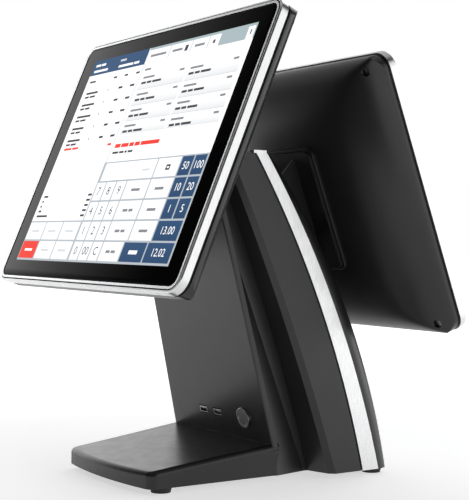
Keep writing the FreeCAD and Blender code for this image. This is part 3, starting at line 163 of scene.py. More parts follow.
def metal(name, colour, roughness, brush=(1.0, 1.0, 1.0), grain_mm=1.2, grain=0.1,
          soften_mm=0.4, rough_spread=0.05):
    """Bare or plated metal with a directional grain and faint handling marks."""
    nodes = Nodes(name)
    lines = nodes.noise(grain_mm, 3.0, brush)
    marks = nodes.noise(18.0, 4.0)
    darker = tuple(channel * 0.86 for channel in colour[:3]) + (1.0,)
    tone = nodes.mix(nodes.spread(lines, 0.0, 1.0), colour, darker)
    nodes.link(tone, nodes.shader.inputs["Base Color"])
    nodes.shader.inputs["Metallic"].default_value = 1.0
    streaks = nodes.spread(lines, -rough_spread, rough_spread)
    patches = nodes.spread(marks, roughness - rough_spread, roughness + rough_spread)
    nodes.link(nodes.math("ADD", streaks, patches), nodes.shader.inputs["Roughness"])
    nodes.bump(lines, grain, 0.02, soften_mm)
    return nodes.material


def rubber(name, level):
    """Matt rubber with a dusty bloom."""
    nodes = Nodes(name)
    dust = nodes.noise(4.0, 4.0)
    colour = nodes.mix(nodes.spread(dust, 0.0, 1.0), shade(level), shade(level * 1.7))
    nodes.link(colour, nodes.shader.inputs["Base Color"])
    nodes.link(nodes.spread(dust, 0.62, 0.8), nodes.shader.inputs["Roughness"])
    nodes.bump(nodes.noise(0.4, 2.0), 0.3, 0.05, 0.4)
    return nodes.material


def circuit_board(name):
    """Green solder mask with copper tracks showing through it."""
    nodes = Nodes(name)
    tracks = nodes.add("ShaderNodeTexVoronoi", feature="DISTANCE_TO_EDGE")
    nodes.link(nodes.place, tracks.inputs["Vector"])
    tracks.inputs["Scale"].default_value = 1.0 / (4.0 * MM)
    line = nodes.spread(tracks.outputs["Distance"], 1.0, 0.0, 0.04, 0.08)
    mask = nodes.mix(line, (0.006, 0.07, 0.03, 1.0), (0.02, 0.16, 0.06, 1.0))
    nodes.link(mask, nodes.shader.inputs["Base Color"])
    nodes.link(nodes.spread(nodes.noise(6.0, 3.0), 0.3, 0.45), nodes.shader.inputs["Roughness"])
    nodes.bump(line, 0.25, 0.05, 0.2)
    return nodes.material


def black_glass(name):
    """The touch glass: black print behind a polished face, with faint wipe marks."""
    nodes = Nodes(name)
    wipes = nodes.noise(30.0, 5.0, (1.0, 0.4, 0.4))
    print_dots = nodes.noise(0.3, 1.0)
    colour = nodes.mix(nodes.spread(print_dots, 0.0, 1.0), shade(0.0025), shade(0.004))
    nodes.link(colour, nodes.shader.inputs["Base Color"])
    nodes.link(nodes.spread(wipes, 0.03, 0.075), nodes.shader.inputs["Roughness"])
    nodes.shader.inputs["Specular IOR Level"].default_value = COATED_GLASS
    nodes.bump(wipes, 0.02, 0.02, 0.3)
    return nodes.material


def screen_picture(name, strength):
    """The lit picture: colours painted on the tiles, a fine dot grid, a glass reflection."""
    nodes = Nodes(name)
    colours = nodes.add("ShaderNodeVertexColor", layer_name=PAINT)
    grid = nodes.spread(nodes.noise(0.35, 0.0), 0.97, 1.0)
    scale = nodes.add("ShaderNodeVectorMath", operation="SCALE")
    nodes.link(colours.outputs["Color"], scale.inputs[0])
    nodes.link(grid, scale.inputs["Scale"])
    nodes.link(scale.outputs["Vector"], nodes.shader.inputs["Emission Color"])
    nodes.shader.inputs["Emission Strength"].default_value = strength
    nodes.shader.inputs["Base Color"].default_value = shade(0.004)
    nodes.shader.inputs["Specular IOR Level"].default_value = COATED_GLASS
    wipes = nodes.noise(30.0, 5.0, (1.0, 0.4, 0.4))
    nodes.link(nodes.spread(wipes, 0.03, 0.075), nodes.shader.inputs["Roughness"])
    return nodes.material


PAINT = "paint"
COATED_GLASS = 0.02
ALUMINIUM = (0.80, 0.805, 0.81, 1.0)
STEEL = (0.52, 0.525, 0.53, 1.0)
CHROME = (0.86, 0.87, 0.88, 1.0)
LONGWAYS = (0.06, 1.0, 1.0)
UPWARDS = (1.0, 1.0, 0.04)

MATERIALS = {
    "screen_glass": black_glass("screen_glass"),
    "bright_metal": metal("bright_metal", CHROME, 0.22, rough_spread=0.04, grain=0.03),
    "seam_rubber": rubber("seam_rubber", 0.004),
    "silver_metal": metal("silver_metal", ALUMINIUM, 0.30, UPWARDS, 0.5, 0.06),
    "groove_plastic": moulded_plastic("groove_plastic", 0.004, 0.007, 0.5),
    "display_module": metal("display_module", STEEL, 0.35, LONGWAYS),
    "zinc_steel": metal("zinc_steel", STEEL, 0.32, grain_mm=6.0, grain=0.05),
    "circuit_board": circuit_board("circuit_board"),
    "black_plastic": moulded_plastic("black_plastic", 0.011, 0.015, 0.33),
    "screw_steel": metal("screw_steel", STEEL, 0.25, grain_mm=0.4),
    "painted_steel": moulded_plastic("painted_steel", 0.009, 0.013, 0.4, 1.1, 0.3, wear=0.05),
    "washer_nylon": moulded_plastic("washer_nylon", 0.5, 0.6, 0.45),
    "foot_rubber": rubber("foot_rubber", 0.012),
    "port_plastic": moulded_plastic("port_plastic", 0.6, 0.7, 0.4),
    "sink_aluminium": metal("sink_aluminium", (0.1, 0.1, 0.11, 1.0), 0.4, LONGWAYS),
    "speaker_metal": moulded_plastic("speaker_metal", 0.015, 0.025, 0.42),
    "port_metal": metal("port_metal", CHROME, 0.2, LONGWAYS, 0.6),
}

for entry in frame["record"]["subparts"]:
    node = frame["nodes"][entry["node"]]
    node.data.materials.clear()
    node.data.materials.append(MATERIALS[entry["material_slot"]])

# ------------------------------------------------------------------ the two heads

GLASS_THICKNESS = 3.0
GLASS_CORNER = 9.5
GROUND_EDGE = 0.6
SCREEN_WIDTH = 304.1
SCREEN_HEIGHT = 228.1
SCREEN_LIFT = 0.65


class Head:
    """One display: its name and the frame of its glass (X right, Y up, Z out)."""

    def __init__(self, name, tilt, turned):
        self.body = f"{name}_display"
        self.name = name
        low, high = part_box(f"{name}_cover_glass")
        stand = Matrix.Rotation(math.radians(90 - tilt), 4, "X")
        self.turn = Matrix.Rotation(math.pi if turned else 0.0, 4, "Z") @ stand
        normal = self.turn @ Vector((0, 0, 1))
        thickness = GLASS_THICKNESS * MM
        self.matrix = Matrix.Translation((low + high) / 2 + normal * thickness / 2) @ self.turn
        self.width = (high.x - low.x) / MM
        slope = math.radians(tilt)
        tall = (high.z - low.z - thickness * math.sin(slope)) / math.cos(slope)
        self.height = tall / MM


HEADS = {"main": Head("main", 23.0, False), "customer": Head("customer", 21.4, True)}


def piece(name, bm, body, material, matrix=Matrix.Identity(4), smooth=True):
    """Turns a bmesh drawn in millimetres into a piece that rides on a body."""
    mesh = bpy.data.meshes.new(name)
    bmesh.ops.recalc_face_normals(bm, faces=bm.faces)
    bm.transform(Matrix.Diagonal((MM, MM, MM, 1.0)))
    bm.to_mesh(mesh)
    bm.free()
    obj = bpy.data.objects.new(name, mesh)
    bpy.context.scene.collection.objects.link(obj)
    obj.matrix_world = matrix
    mesh.materials.append(material)
    if smooth:
        mesh.shade_smooth()
        mesh.set_sharp_from_angle(angle=SMOOTH_ANGLE)
    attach(obj, body)
    return obj


def rounded_outline(width, height, corner, steps=10):
    """Points round a rectangle with round corners, counter-clockwise."""
    points = []
    for quarter in range(4):
        sign_x = 1 if quarter in (0, 3) else -1
        sign_y = 1 if quarter in (0, 1) else -1
        for step in range(steps + 1):
            angle = math.radians(90 * quarter + 90 * step / steps)
            points.append((sign_x * (width / 2 - corner) + corner * math.cos(angle),
                           sign_y * (height / 2 - corner) + corner * math.sin(angle)))
    return points


def bridge(bm, rings):
    """Faces between rings of the same number of vertices."""
    for first, second in zip(rings, rings[1:]):
        count = len(first)
        for index in range(count):
            after = (index + 1) % count
            bm.faces.new((first[index], first[after], second[after], second[index]))


def ring_at(bm, points, z):
    """One ring of vertices at a depth."""
    return [bm.verts.new((x, y, z)) for x, y in points]


def quarter_turn(steps=4):
    """Angles from 0 to 90 degrees, for a softened edge."""
    return [math.radians(90 * step / steps) for step in range(steps + 1)]


def touch_glass(head):
    """The glass slab with a ground edge; it stands for the CAD glass."""
    bm = bmesh.new()
    sections = [(0.0, -GLASS_THICKNESS)]
    for angle in quarter_turn():
        sections.append((GROUND_EDGE * (1 - math.cos(angle)),
                         -GROUND_EDGE * (1 - math.sin(angle))))
    rings = []
    for inset, z in sections:
        outline = rounded_outline(head.width - 2 * inset, head.height - 2 * inset,
                                  GLASS_CORNER - inset)
        rings.append(ring_at(bm, outline, z))
    bridge(bm, rings)
    bm.faces.new(rings[0])
    bm.faces.new(rings[-1])
    glass = piece(f"{head.name}_touch_glass", bm, head.body, MATERIALS["screen_glass"],
                  head.matrix)
    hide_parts(f"{head.name}_cover_glass")


COVER_OVERLAP = 9.2
COVER_CORNER = 14.1
COVER_FRONT = 10.8
COVER_DEPTH = 33.0
COVER_WALL = 2.5
ARCH_MARGIN = 1.0
SIDE_POWER = 2.0
ARCH_POWER = 2.5
BLEND_POWER = 9.0
INSETS = (0.0, 0.25, 0.6, 1.1, 1.8, 2.7, 3.8, 5.2, 7.0, 9.0, 11.5, 14.5, 18.0, 22.0, 27.0, 33.0,
          41.0, 51.0, 63.0, 78.0, 96.0, 115.0, 130.0)
SCREW_INSET_X = 14.0
SCREW_INSET_Y = 12.0
SCREW_SEAT = 20.5
RECESS_RADIUS = 3.9
PAD_WIDTH = 156.0
PAD_HEIGHT = 126.0
PAD_CORNER = 8.0
PAD_PROUD = 0.5
PAD_ROOT = 4.0
PAD_EDGE = 0.5
SEAT_BORE = 1.7
SEAT_FRONT = 3.0
CUP_WALL = 1.5


def cover_depth(x, y, half_x, half_y, depth):
    """Depth of the pillow shape: an ellipse arch across and a squarer arch from top to
    bottom, blended softly where they meet."""
    across = max(1.0 - (abs(x) / half_x) ** SIDE_POWER, 0.0) ** (1 / SIDE_POWER)
    upright = max(1.0 - (abs(y) / half_y) ** ARCH_POWER, 0.0) ** (1 / ARCH_POWER)
    if min(across, upright) < 0.01:
        return 0.0
    blend = (across ** -BLEND_POWER + upright ** -BLEND_POWER) ** (-1 / BLEND_POWER)
    return depth * 2 ** (1 / BLEND_POWER) * blend


def dense_outline(width, height, corner):
    """A rounded rectangle with extra points along its sides, closer near the corners."""
    corners = rounded_outline(width, height, corner, 12)
    points = []
    along = 26
    for quarter in range(4):
        arc = corners[quarter * 13:quarter * 13 + 13]
        points += arc
        start, end = Vector(arc[-1]), Vector(corners[(quarter * 13 + 13) % len(corners)])
        for step in range(1, along):
            share = (1 - math.cos(math.pi * step / along)) / 2
            points.append(tuple(start.lerp(end, share)))
    return points


def pillow_rings(bm, head, inset):
    """Rings from the open edge of the cover to its middle, at one of its two surfaces."""
    width = head.width + COVER_OVERLAP - 2 * inset
    height = head.height + COVER_OVERLAP - 2 * inset
    half_x = width / 2 + ARCH_MARGIN
    half_y = height / 2 + ARCH_MARGIN
    depth = COVER_DEPTH - inset
    rings = [ring_at(bm, dense_outline(width, height, COVER_CORNER - inset), -COVER_FRONT)]
    for step in INSETS:
        tall = height - 2 * step
        corner = min(COVER_CORNER - inset + 0.8 * step, tall / 2 - 0.2)
        outline = dense_outline(width - 2 * step, tall, corner)
        ring = [bm.verts.new((x, y, -COVER_FRONT - cover_depth(x, y, half_x, half_y, depth)))
                for x, y in outline]
        rings.append(ring)
    return rings


def rear_shell(head):
    """The moulded back of a display, with a flat pad and four screw recesses."""
    bm = bmesh.new()
    outer = pillow_rings(bm, head, 0.0)
    inner = pillow_rings(bm, head, COVER_WALL)
    bridge(bm, outer)
    bridge(bm, inner)
    bridge(bm, [outer[0], inner[0]])
    bm.faces.new(outer[-1])
    bm.faces.new(inner[-1])
    shell = piece(f"{head.name}_rear_shell", bm, head.body, MATERIALS["black_plastic"],
                  head.matrix)
    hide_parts(f"{head.name}_rear_cover")
    cutter = bmesh.new()
    for sign_x in (-1, 1):
        for sign_y in (-1, 1):
            x = sign_x * ((head.width + COVER_OVERLAP) / 2 - SCREW_INSET_X)
            y = sign_y * ((head.height + COVER_OVERLAP) / 2 - SCREW_INSET_Y)
            low, high = -(COVER_FRONT + COVER_DEPTH), -COVER_FRONT - 1
            bmesh.ops.create_cone(cutter, cap_ends=True, segments=32, radius1=RECESS_RADIUS,
                                  radius2=RECESS_RADIUS, depth=high - low,
                                  matrix=Matrix.Translation((x, y, (low + high) / 2)))
    bore = bpy.data.meshes.new("recess_cutter")
    cutter.transform(Matrix.Diagonal((MM, MM, MM, 1.0)))
    cutter.to_mesh(bore)
    cutter.free()
    tool = bpy.data.objects.new("recess_cutter", bore)
    bpy.context.scene.collection.objects.link(tool)
    tool.matrix_world = head.matrix
    drill = shell.modifiers.new("recesses", "BOOLEAN")
    drill.object = tool
    bpy.context.view_layer.update()
    depsgraph = bpy.context.evaluated_depsgraph_get()
    drilled = bpy.data.meshes.new_from_object(shell.evaluated_get(depsgraph))
    shell.modifiers.clear()
    shell.data = drilled
    drilled.shade_smooth()
    drilled.set_sharp_from_angle(angle=SMOOTH_ANGLE)
    bpy.data.objects.remove(tool)
    boss_cups(head)
    mount_pad(head)


def lathe(bm, profile, x, y, segments=32):
    """Turns a profile of (radius, z) about an axis at x, y; ends on the axis are closed."""
    rings = []
    for radius, z in profile:
        rings.append([bm.verts.new((x + radius * math.cos(2 * math.pi * step / segments),
                                    y + radius * math.sin(2 * math.pi * step / segments), z))
                      for step in range(segments)])
    bridge(bm, rings)
    return rings


def boss_cups(head):
    """The four screw seats inside the recesses."""
    bm = bmesh.new()
    for sign_x in (-1, 1):
        for sign_y in (-1, 1):
            x = sign_x * ((head.width + COVER_OVERLAP) / 2 - SCREW_INSET_X)
            y = sign_y * ((head.height + COVER_OVERLAP) / 2 - SCREW_INSET_Y)
            rings = lathe(bm, ((SEAT_BORE, -SCREW_SEAT + SEAT_FRONT), (SEAT_BORE, -SCREW_SEAT),
                               (RECESS_RADIUS, -SCREW_SEAT), (RECESS_RADIUS, -SCREW_SEAT - 2.2),
                               (RECESS_RADIUS + CUP_WALL, -SCREW_SEAT - 2.0),
                               (RECESS_RADIUS + CUP_WALL, -SCREW_SEAT + SEAT_FRONT)), x, y)
            bridge(bm, [rings[-1], rings[0]])
    cups = piece(f"{head.name}_screw_seats", bm, head.body, MATERIALS["black_plastic"],
                 head.matrix)
    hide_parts(f"{head.name}_rear_cover")


def soft_slab(bm, width, height, corner, back, front, edge):
    """A rounded plate between two depths with a soft edge on its rear side."""
    sections = [(0.0, front)]
    for angle in quarter_turn():
        sections.append((edge * (1 - math.cos(angle)), back + edge * (1 - math.sin(angle))))
    rings = [ring_at(bm, rounded_outline(width - 2 * inset, height - 2 * inset, corner - inset),
                     z) for inset, z in sections]
    bridge(bm, rings)
    bm.faces.new(rings[0])
    bm.faces.new(rings[-1])


def mount_pad(head):
    """The flat pad under the hinge plate."""
    bm = bmesh.new()
    crown = COVER_FRONT + COVER_DEPTH
    soft_slab(bm, PAD_WIDTH, PAD_HEIGHT, PAD_CORNER, -crown - PAD_PROUD, -crown + PAD_ROOT,
              PAD_EDGE)
    pad = piece(f"{head.name}_mount_pad", bm, head.body, MATERIALS["black_plastic"],
                head.matrix)
    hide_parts(f"{head.name}_rear_cover")


for head in HEADS.values():
    touch_glass(head)
    rear_shell(head)

# ------------------------------------------------------------------ the lit screens

WHITE = (0.97, 0.97, 0.97)
PAPER = (0.93, 0.93, 0.935)
KEY_TOP = (0.95, 0.955, 0.96)
KEY_LOW = (0.86, 0.87, 0.88)
GAP = (0.42, 0.46, 0.50)
RULE = (0.62, 0.64, 0.66)
BLUE = (0.028, 0.075, 0.165)
BLUE_LOW = (0.022, 0.062, 0.14)
TEAL = (0.36, 0.44, 0.46)
RED = (0.80, 0.045, 0.028)
INK = (0.05, 0.05, 0.06)
SOFT_INK = (0.22, 0.23, 0.25)
LAYER = 0.012
WORD_GAP = 0.006
SALE_GLOW = 1.2
CUSTOMER_GLOW = 1.05


class Picture:
    """Flat tiles and figures on a head's glass. Places are shares of the screen, from its
    top left corner; colours are painted on the tiles' corners."""

    def __init__(self, head):
        self.head = head
        self.bm = bmesh.new()
        self.paint = self.bm.loops.layers.float_color.new(PAINT)

    def spot(self, across, down, layer):
        """A place on the glass, a little proud of it for each layer."""
        return ((across - 0.5) * SCREEN_WIDTH, (0.5 - down) * SCREEN_HEIGHT + SCREEN_LIFT,
                LAYER * layer)

    def tile(self, left, top, right, low, colour, layer, low_colour=None):
        """A flat rectangle, shading to another colour at its lower edge if one is given."""
        corners = ((left, top), (left, low), (right, low), (right, top))
        vertices = [self.bm.verts.new(self.spot(x, y, layer)) for x, y in corners]
        face = self.bm.faces.new(vertices)
        shades = (colour, low_colour or colour, low_colour or colour, colour)
        for loop, tone in zip(face.loops, shades):
            loop[self.paint] = tone + (1.0,)

    def words(self, left, down, lengths, size, colour, layer=4):
        """A line of dashes in place of words; lengths and size are shares of the screen."""
        spot = left
        for length in lengths:
            self.tile(spot, down - size / 2, spot + length, down + size / 2, colour, layer)
            spot += length + WORD_GAP

    def figures(self, text, across, down, size, colour, layer=4):
        """Digits centred at a spot, in the built-in typeface."""
        curve = bpy.data.curves.new("figures", "FONT")
        curve.body = text
        curve.size = size * SCREEN_HEIGHT
        curve.align_x = "CENTER"
        curve.align_y = "CENTER"
        curve.resolution_u = 3
        holder = bpy.data.objects.new("figures", curve)
        bpy.context.scene.collection.objects.link(holder)
        bpy.context.view_layer.update()
        mesh = holder.evaluated_get(bpy.context.evaluated_depsgraph_get()).to_mesh()
        middle = Vector(self.spot(across, down, layer))
        vertices = [self.bm.verts.new(vertex.co + middle) for vertex in mesh.vertices]
        for polygon in mesh.polygons:
            face = self.bm.faces.new([vertices[index] for index in polygon.vertices])
            for loop in face.loops:
                loop[self.paint] = colour + (1.0,)
        bpy.data.objects.remove(holder)
        bpy.data.curves.remove(curve)

    def finish(self, strength):
        """Turns the tiles into a lit piece."""
        name = f"{self.head.name}_screen_picture"
        piece(name, self.bm, self.head.body, screen_picture(name, strength),
              self.head.matrix, smooth=False)


KEY_EDGES = (0.380, 0.445, 0.511, 0.577, 0.722, 0.857, 0.927, 0.995)
KEY_ROWS = (0.5475, 0.637, 0.7265, 0.816, 0.9055, 0.995)
KEY_GAP = 0.0035


def key(picture, left, top, right, low, colour=KEY_TOP, low_colour=KEY_LOW):
    """A key cap between four edges, less the gap round it."""
    picture.tile(left + KEY_GAP, top + KEY_GAP, right - KEY_GAP, low - KEY_GAP * 1.3,
                 colour, 3, low_colour)


def figure_key(picture, columns, row, text, blue=False):
    """A key from one column edge to another, with a figure on it."""
    left, right = KEY_EDGES[columns[0]], KEY_EDGES[columns[1]]
    top, low = KEY_ROWS[row], KEY_ROWS[row + 1]
    if blue:
        key(picture, left, top, right, low, BLUE, BLUE_LOW)
    else:
        key(picture, left, top, right, low)
    picture.figures(text, (left + right) / 2, (top + low) / 2, 0.046 if blue else 0.052,
                    WHITE if blue else INK)


def word_key(picture, columns, row, lengths):
    """A key from one column edge to another, with dashes on it."""
    left, right = KEY_EDGES[columns[0]], KEY_EDGES[columns[1]]
    top, low = KEY_ROWS[row], KEY_ROWS[row + 1]
    key(picture, left, top, right, low)
    wide = sum(lengths) + WORD_GAP * (len(lengths) - 1)
    picture.words((left + right - wide) / 2, (top + low) / 2, lengths, 0.012, SOFT_INK)


def keypad(picture):
    """Number keys, wide keys and amounts, lower right of the sale screen."""
    picture.tile(0.378, 0.545, 1.0, 1.0, GAP, 2)
    key(picture, 0.392, KEY_ROWS[0], 0.722, KEY_ROWS[1], WHITE, WHITE)
    picture.words(0.645, 0.595, (0.045,), 0.01, RULE)
    key(picture, 0.722, KEY_ROWS[0], 0.857, KEY_ROWS[1])
    picture.tile(0.782, 0.580, 0.806, 0.604, INK, 4)
    picture.tile(0.788, 0.588, 0.800, 0.596, WHITE, 5)
    amounts = (("50", "100"), ("10", "20"), ("1", "5"))
    for row, pair in enumerate(amounts):
        figure_key(picture, (5, 6), row, pair[0], blue=True)
        figure_key(picture, (6, 7), row, pair[1], blue=True)
    for row, digits in enumerate(("789", "456", "123"), start=1):
        for column, digit in enumerate(digits):
            figure_key(picture, (column, column + 1), row, digit)
        word_key(picture, (3, 4), row, (0.03, 0.025) if row != 1 else (0.052,))
        word_key(picture, (4, 5), row, (0.05,))
    figure_key(picture, (5, 7), 3, "13.00", blue=True)
    for column, text in enumerate(("0", "00", "C")):
        figure_key(picture, (column, column + 1), 4, text)
    key(picture, 0.577, KEY_ROWS[4], 0.707, KEY_ROWS[5])
    picture.words(0.612, 0.95, (0.026, 0.026), 0.012, SOFT_INK)
    key(picture, 0.707, KEY_ROWS[4], 0.846, KEY_ROWS[5], BLUE, BLUE_LOW)
    picture.words(0.752, 0.95, (0.05,), 0.016, WHITE)
    key(picture, 0.846, KEY_ROWS[4], 0.995, KEY_ROWS[5], BLUE, BLUE_LOW)
    picture.figures("12.02", 0.92, 0.95, 0.046, WHITE)


def receipt(picture):
    """Header, item lines and totals, down the left side of the sale screen."""
    picture.tile(0.0, 0.0, 0.384, 0.078, BLUE, 3)
    picture.words(0.022, 0.028, (0.035, 0.03), 0.012, PAPER)
    picture.words(0.022, 0.058, (0.10,), 0.012, PAPER)
    picture.words(0.20, 0.028, (0.04,), 0.010, RULE)
    picture.words(0.20, 0.058, (0.10, 0.035), 0.012, PAPER)
    picture.words(0.022, 0.113, (0.045,), 0.010, INK)
    for across in (0.197, 0.272, 0.350):
        picture.words(across, 0.113, (0.024,), 0.010, INK)
    first, pitch = 0.173, 0.0605
    for line in range(5):
        down = first + pitch * line
        picture.words(0.03, down, (0.085 + 0.008 * (line % 3),), 0.011, INK)
        picture.words(0.03, down + 0.020, (0.03, 0.04 - 0.005 * (line % 2)), 0.010, INK)
        picture.words(0.186, down, (0.005,), 0.011, INK)
        picture.words(0.262, down, (0.028,), 0.011, INK)
        picture.words(0.340, down, (0.030,), 0.011, INK)
        if line < 4:
            picture.tile(0.02, down + 0.0335, 0.374, down + 0.035, RULE, 3)
    picture.words(0.03, 0.457, (0.055, 0.045), 0.011, RED)
    picture.words(0.345, 0.457, (0.025,), 0.011, RED)
    picture.tile(0.02, 0.474, 0.374, 0.476, RULE, 3)
    for line, length in enumerate((0.032, 0.012, 0.012, 0.022, 0.082)):
        down = 0.693 + 0.024 * line
        picture.words(0.022, down, (length,), 0.010, INK)
        picture.words(0.348, down, (0.026,), 0.010, INK)
    picture.tile(0.0, 0.812, 0.384, 1.0, GAP, 2)
    edges = (0.0, 0.124, 0.250, 0.376)
    for row, low_row in ((3, 4), (4, 5)):
        for column in range(3):
            red = row == 4 and column == 0
            key(picture, edges[column], KEY_ROWS[row], edges[column + 1], KEY_ROWS[low_row],
                RED if red else KEY_TOP, RED if red else KEY_LOW)
            middle = (edges[column] + edges[column + 1]) / 2
            picture.words(middle - 0.028, (KEY_ROWS[row] + KEY_ROWS[low_row]) / 2, (0.056,),
                          0.011, WHITE if red else RULE)


def catalogue(picture):
    """Tabs, two columns of article tiles and the notice, upper right."""
    picture.tile(0.388, 0.0, 1.0, 0.068, TEAL, 3)
    for left, right in ((0.390, 0.525), (0.529, 0.655), (0.659, 0.752), (0.756, 0.815),
                        (0.958, 0.994)):
        picture.tile(left, 0.012, right, 0.069, PAPER, 4)
    picture.words(0.408, 0.042, (0.098,), 0.012, SOFT_INK, 5)
    picture.words(0.545, 0.042, (0.060,), 0.012, SOFT_INK, 5)
    picture.tile(0.620, 0.028, 0.638, 0.056, INK, 5)
    picture.words(0.677, 0.042, (0.056,), 0.012, SOFT_INK, 5)
    picture.tile(0.779, 0.034, 0.792, 0.050, INK, 5)
    picture.tile(0.974, 0.026, 0.980, 0.048, INK, 5)
    picture.words(0.405, 0.108, (0.040,), 0.011, SOFT_INK)
    low_grey = (0.72, 0.735, 0.75)
    rows = (0.124, 0.205, 0.281, 0.354, 0.417)
    for top, low in zip(rows, rows[1:]):
        for left, right in ((0.402, 0.684), (0.690, 0.982)):
            picture.tile(left, top, right, low, RULE, 3)
            picture.tile(left, top + 0.002, right, low - 0.002, WHITE, 4, low_grey)
            picture.words(left + 0.014, top + 0.024, (0.072,), 0.010, SOFT_INK, 5)
            picture.words(left + 0.014, top + 0.050, (0.03, 0.028, 0.055), 0.011, INK, 5)
            picture.words(right - 0.045, top + 0.020, (0.028,), 0.010, SOFT_INK, 5)
    picture.tile(0.392, 0.419, 1.0, 0.545, PAPER, 3)
    picture.words(0.404, 0.470, (0.036, 0.046, 0.028, 0.032, 0.112), 0.018, RED)
    picture.words(0.404, 0.502, (0.038, 0.030, 0.014, 0.030), 0.010, INK)


def sale_screen():
    """The operator's screen during a sale."""
    picture = Picture(HEADS["main"])
    picture.tile(0.0, 0.0, 1.0, 1.0, WHITE, 1)
    picture.tile(0.384, 0.078, 0.388, 1.0, GAP, 3)
    receipt(picture)
    catalogue(picture)
    keypad(picture)
    picture.finish(SALE_GLOW)


def customer_screen():
    """The customer's screen: a calm backdrop with the item list and the total."""
    picture = Picture(HEADS["customer"])
    picture.tile(0.0, 0.0, 1.0, 1.0, (0.05, 0.13, 0.26), 1, (0.02, 0.05, 0.12))
    picture.tile(0.05, 0.10, 0.56, 0.90, PAPER, 2, WHITE)
    for line in range(7):
        down = 0.18 + 0.07 * line
        picture.words(0.08, down, (0.10, 0.07, 0.04 + 0.015 * (line % 3)), 0.014, SOFT_INK)
        picture.words(0.47, down, (0.05,), 0.014, INK)
        picture.tile(0.08, down + 0.033, 0.53, down + 0.035, RULE, 3)
    picture.words(0.08, 0.80, (0.09,), 0.022, INK)
    picture.figures("12.02", 0.47, 0.80, 0.06, INK)
    picture.tile(0.62, 0.10, 0.95, 0.52, (0.16, 0.32, 0.52), 2, (0.08, 0.2, 0.38))
    picture.figures("12.02", 0.785, 0.31, 0.11, WHITE)
    for row in range(3):
        picture.tile(0.62, 0.58 + 0.11 * row, 0.95, 0.66 + 0.11 * row, (0.1, 0.24, 0.42), 2)
        picture.words(0.66, 0.62 + 0.11 * row, (0.08, 0.12 - 0.03 * row), 0.014, PAPER)
    picture.finish(CUSTOMER_GLOW)


sale_screen()
customer_screen()

# ------------------------------------------------------------------ stage

# The stage's lengths are in metres.
FLOOR_HALF = 9.0
FLOOR_GLOW = 0.6
GLOW_FROM = 0.35
GLOW_TO = 1.3


def floor():
    """A wide pale floor that glows to white away from the object."""
    bm = bmesh.new()
    corners = ((-FLOOR_HALF, -FLOOR_HALF), (FLOOR_HALF, -FLOOR_HALF),
               (FLOOR_HALF, FLOOR_HALF), (-FLOOR_HALF, FLOOR_HALF))
    vertices = [bm.verts.new((x, y, 0.0)) for x, y in corners]
    bm.faces.new(vertices)
    mesh = bpy.data.meshes.new("floor")
    bm.to_mesh(mesh)
    bm.free()
    obj = bpy.data.objects.new("floor", mesh)
    bpy.context.scene.collection.objects.link(obj)
    nodes = Nodes("floor_white")
    tone = nodes.mix(nodes.spread(nodes.noise(900.0, 2.0), 0.0, 1.0), shade(0.86), shade(0.88))
    nodes.link(tone, nodes.shader.inputs["Base Color"])
    nodes.shader.inputs["Roughness"].default_value = 0.65
    nodes.shader.inputs["Specular IOR Level"].default_value = 0.0
    away = nodes.add("ShaderNodeVectorMath", operation="LENGTH")
    nodes.link(nodes.place, away.inputs[0])
    far = nodes.spread(away.outputs["Value"], FLOOR_GLOW, 1.0, GLOW_FROM, GLOW_TO)
    nodes.shader.inputs["Emission Color"].default_value = shade(1.0)
    nodes.link(far, nodes.shader.inputs["Emission Strength"])
    mesh.materials.append(nodes.material)


CAMERA_PLACE = (1.03225, -0.67445, 0.22914)
CAMERA_YAW = 56.30
CAMERA_DOWN = 0.55
CAMERA_ROLL = 0.47
CAMERA_LENS = 89.45
CAMERA_SENSOR = 36.0
CAMERA_REACH = 50.0


def camera():
    """The camera, level with the stand and to the operator's right."""
    data = bpy.data.cameras.new("camera")
    data.lens = CAMERA_LENS
    data.sensor_width = CAMERA_SENSOR
    data.clip_end = CAMERA_REACH
    obj = bpy.data.objects.new("camera", data)
    bpy.context.scene.collection.objects.link(obj)
    yaw = Matrix.Rotation(math.radians(CAMERA_YAW), 4, "Z")
    pitch = Matrix.Rotation(math.radians(90.0 - CAMERA_DOWN), 4, "X")
    roll = Matrix.Rotation(math.radians(CAMERA_ROLL), 4, "Z")
    obj.matrix_world = Matrix.Translation(CAMERA_PLACE) @ yaw @ pitch @ roll
    bpy.context.scene.camera = obj


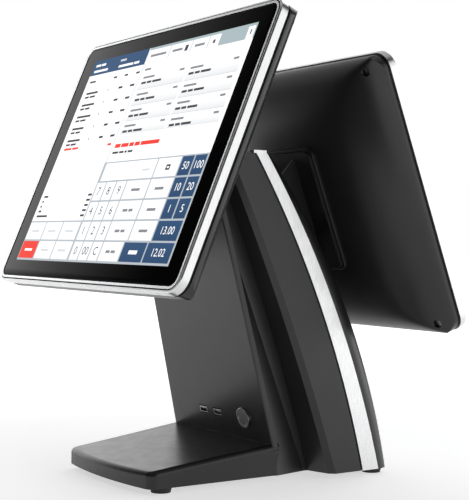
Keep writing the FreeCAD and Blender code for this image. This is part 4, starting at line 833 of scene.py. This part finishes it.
# Soft patches of light all round: compass angle from +X towards +Y, height angle, the
# patch's half width and brightness.
LOBES = (
    (174, 6, 41, 2.3),
    (33, 6, 38, 1.2),
    (70, 2, 26, 3.0),
    (120, 34, 26, 2.2),
    (0, 90, 45, 0.5),
)


def compass(turn, rise):
    """The direction at a compass angle and a height angle, in degrees."""
    turn, rise = math.radians(turn), math.radians(rise)
    return Vector((math.cos(turn) * math.cos(rise), math.sin(turn) * math.cos(rise),
                   math.sin(rise)))


def light_tent():
    """White to the camera; to the object, soft patches of light in the dark."""
    world = bpy.data.worlds.new("studio")
    bpy.context.scene.world = world
    world.use_nodes = True
    tree = world.node_tree
    tree.nodes.clear()
    output = tree.nodes.new("ShaderNodeOutputWorld")
    place = tree.nodes.new("ShaderNodeTexCoord")
    total = None
    for turn, rise, half_width, brightness in LOBES:
        near = tree.nodes.new("ShaderNodeVectorMath")
        near.operation = "DOT_PRODUCT"
        near.inputs[1].default_value = compass(turn, rise)
        tree.links.new(place.outputs["Generated"], near.inputs[0])
        patch = tree.nodes.new("ShaderNodeMapRange")
        patch.interpolation_type = "SMOOTHSTEP"
        patch.inputs["From Min"].default_value = math.cos(math.radians(half_width))
        patch.inputs["From Max"].default_value = math.cos(math.radians(half_width * 0.2))
        patch.inputs["To Max"].default_value = brightness
        tree.links.new(near.outputs["Value"], patch.inputs["Value"])
        add = tree.nodes.new("ShaderNodeMath")
        tree.links.new(patch.outputs["Result"], add.inputs[0])
        add.inputs[1].default_value = 0.0
        if total:
            tree.links.new(total, add.inputs[1])
        total = add.outputs[0]
    seen = tree.nodes.new("ShaderNodeBackground")
    seen.inputs["Color"].default_value = shade(1.0)
    lit = tree.nodes.new("ShaderNodeBackground")
    tree.links.new(total, lit.inputs["Color"])
    rays = tree.nodes.new("ShaderNodeLightPath")
    mix = tree.nodes.new("ShaderNodeMixShader")
    tree.links.new(rays.outputs["Is Camera Ray"], mix.inputs["Fac"])
    tree.links.new(lit.outputs[0], mix.inputs[1])
    tree.links.new(seen.outputs[0], mix.inputs[2])
    tree.links.new(mix.outputs[0], output.inputs["Surface"])


floor()
camera()
light_tent()
bpy.context.scene.view_settings.view_transform = "Standard"
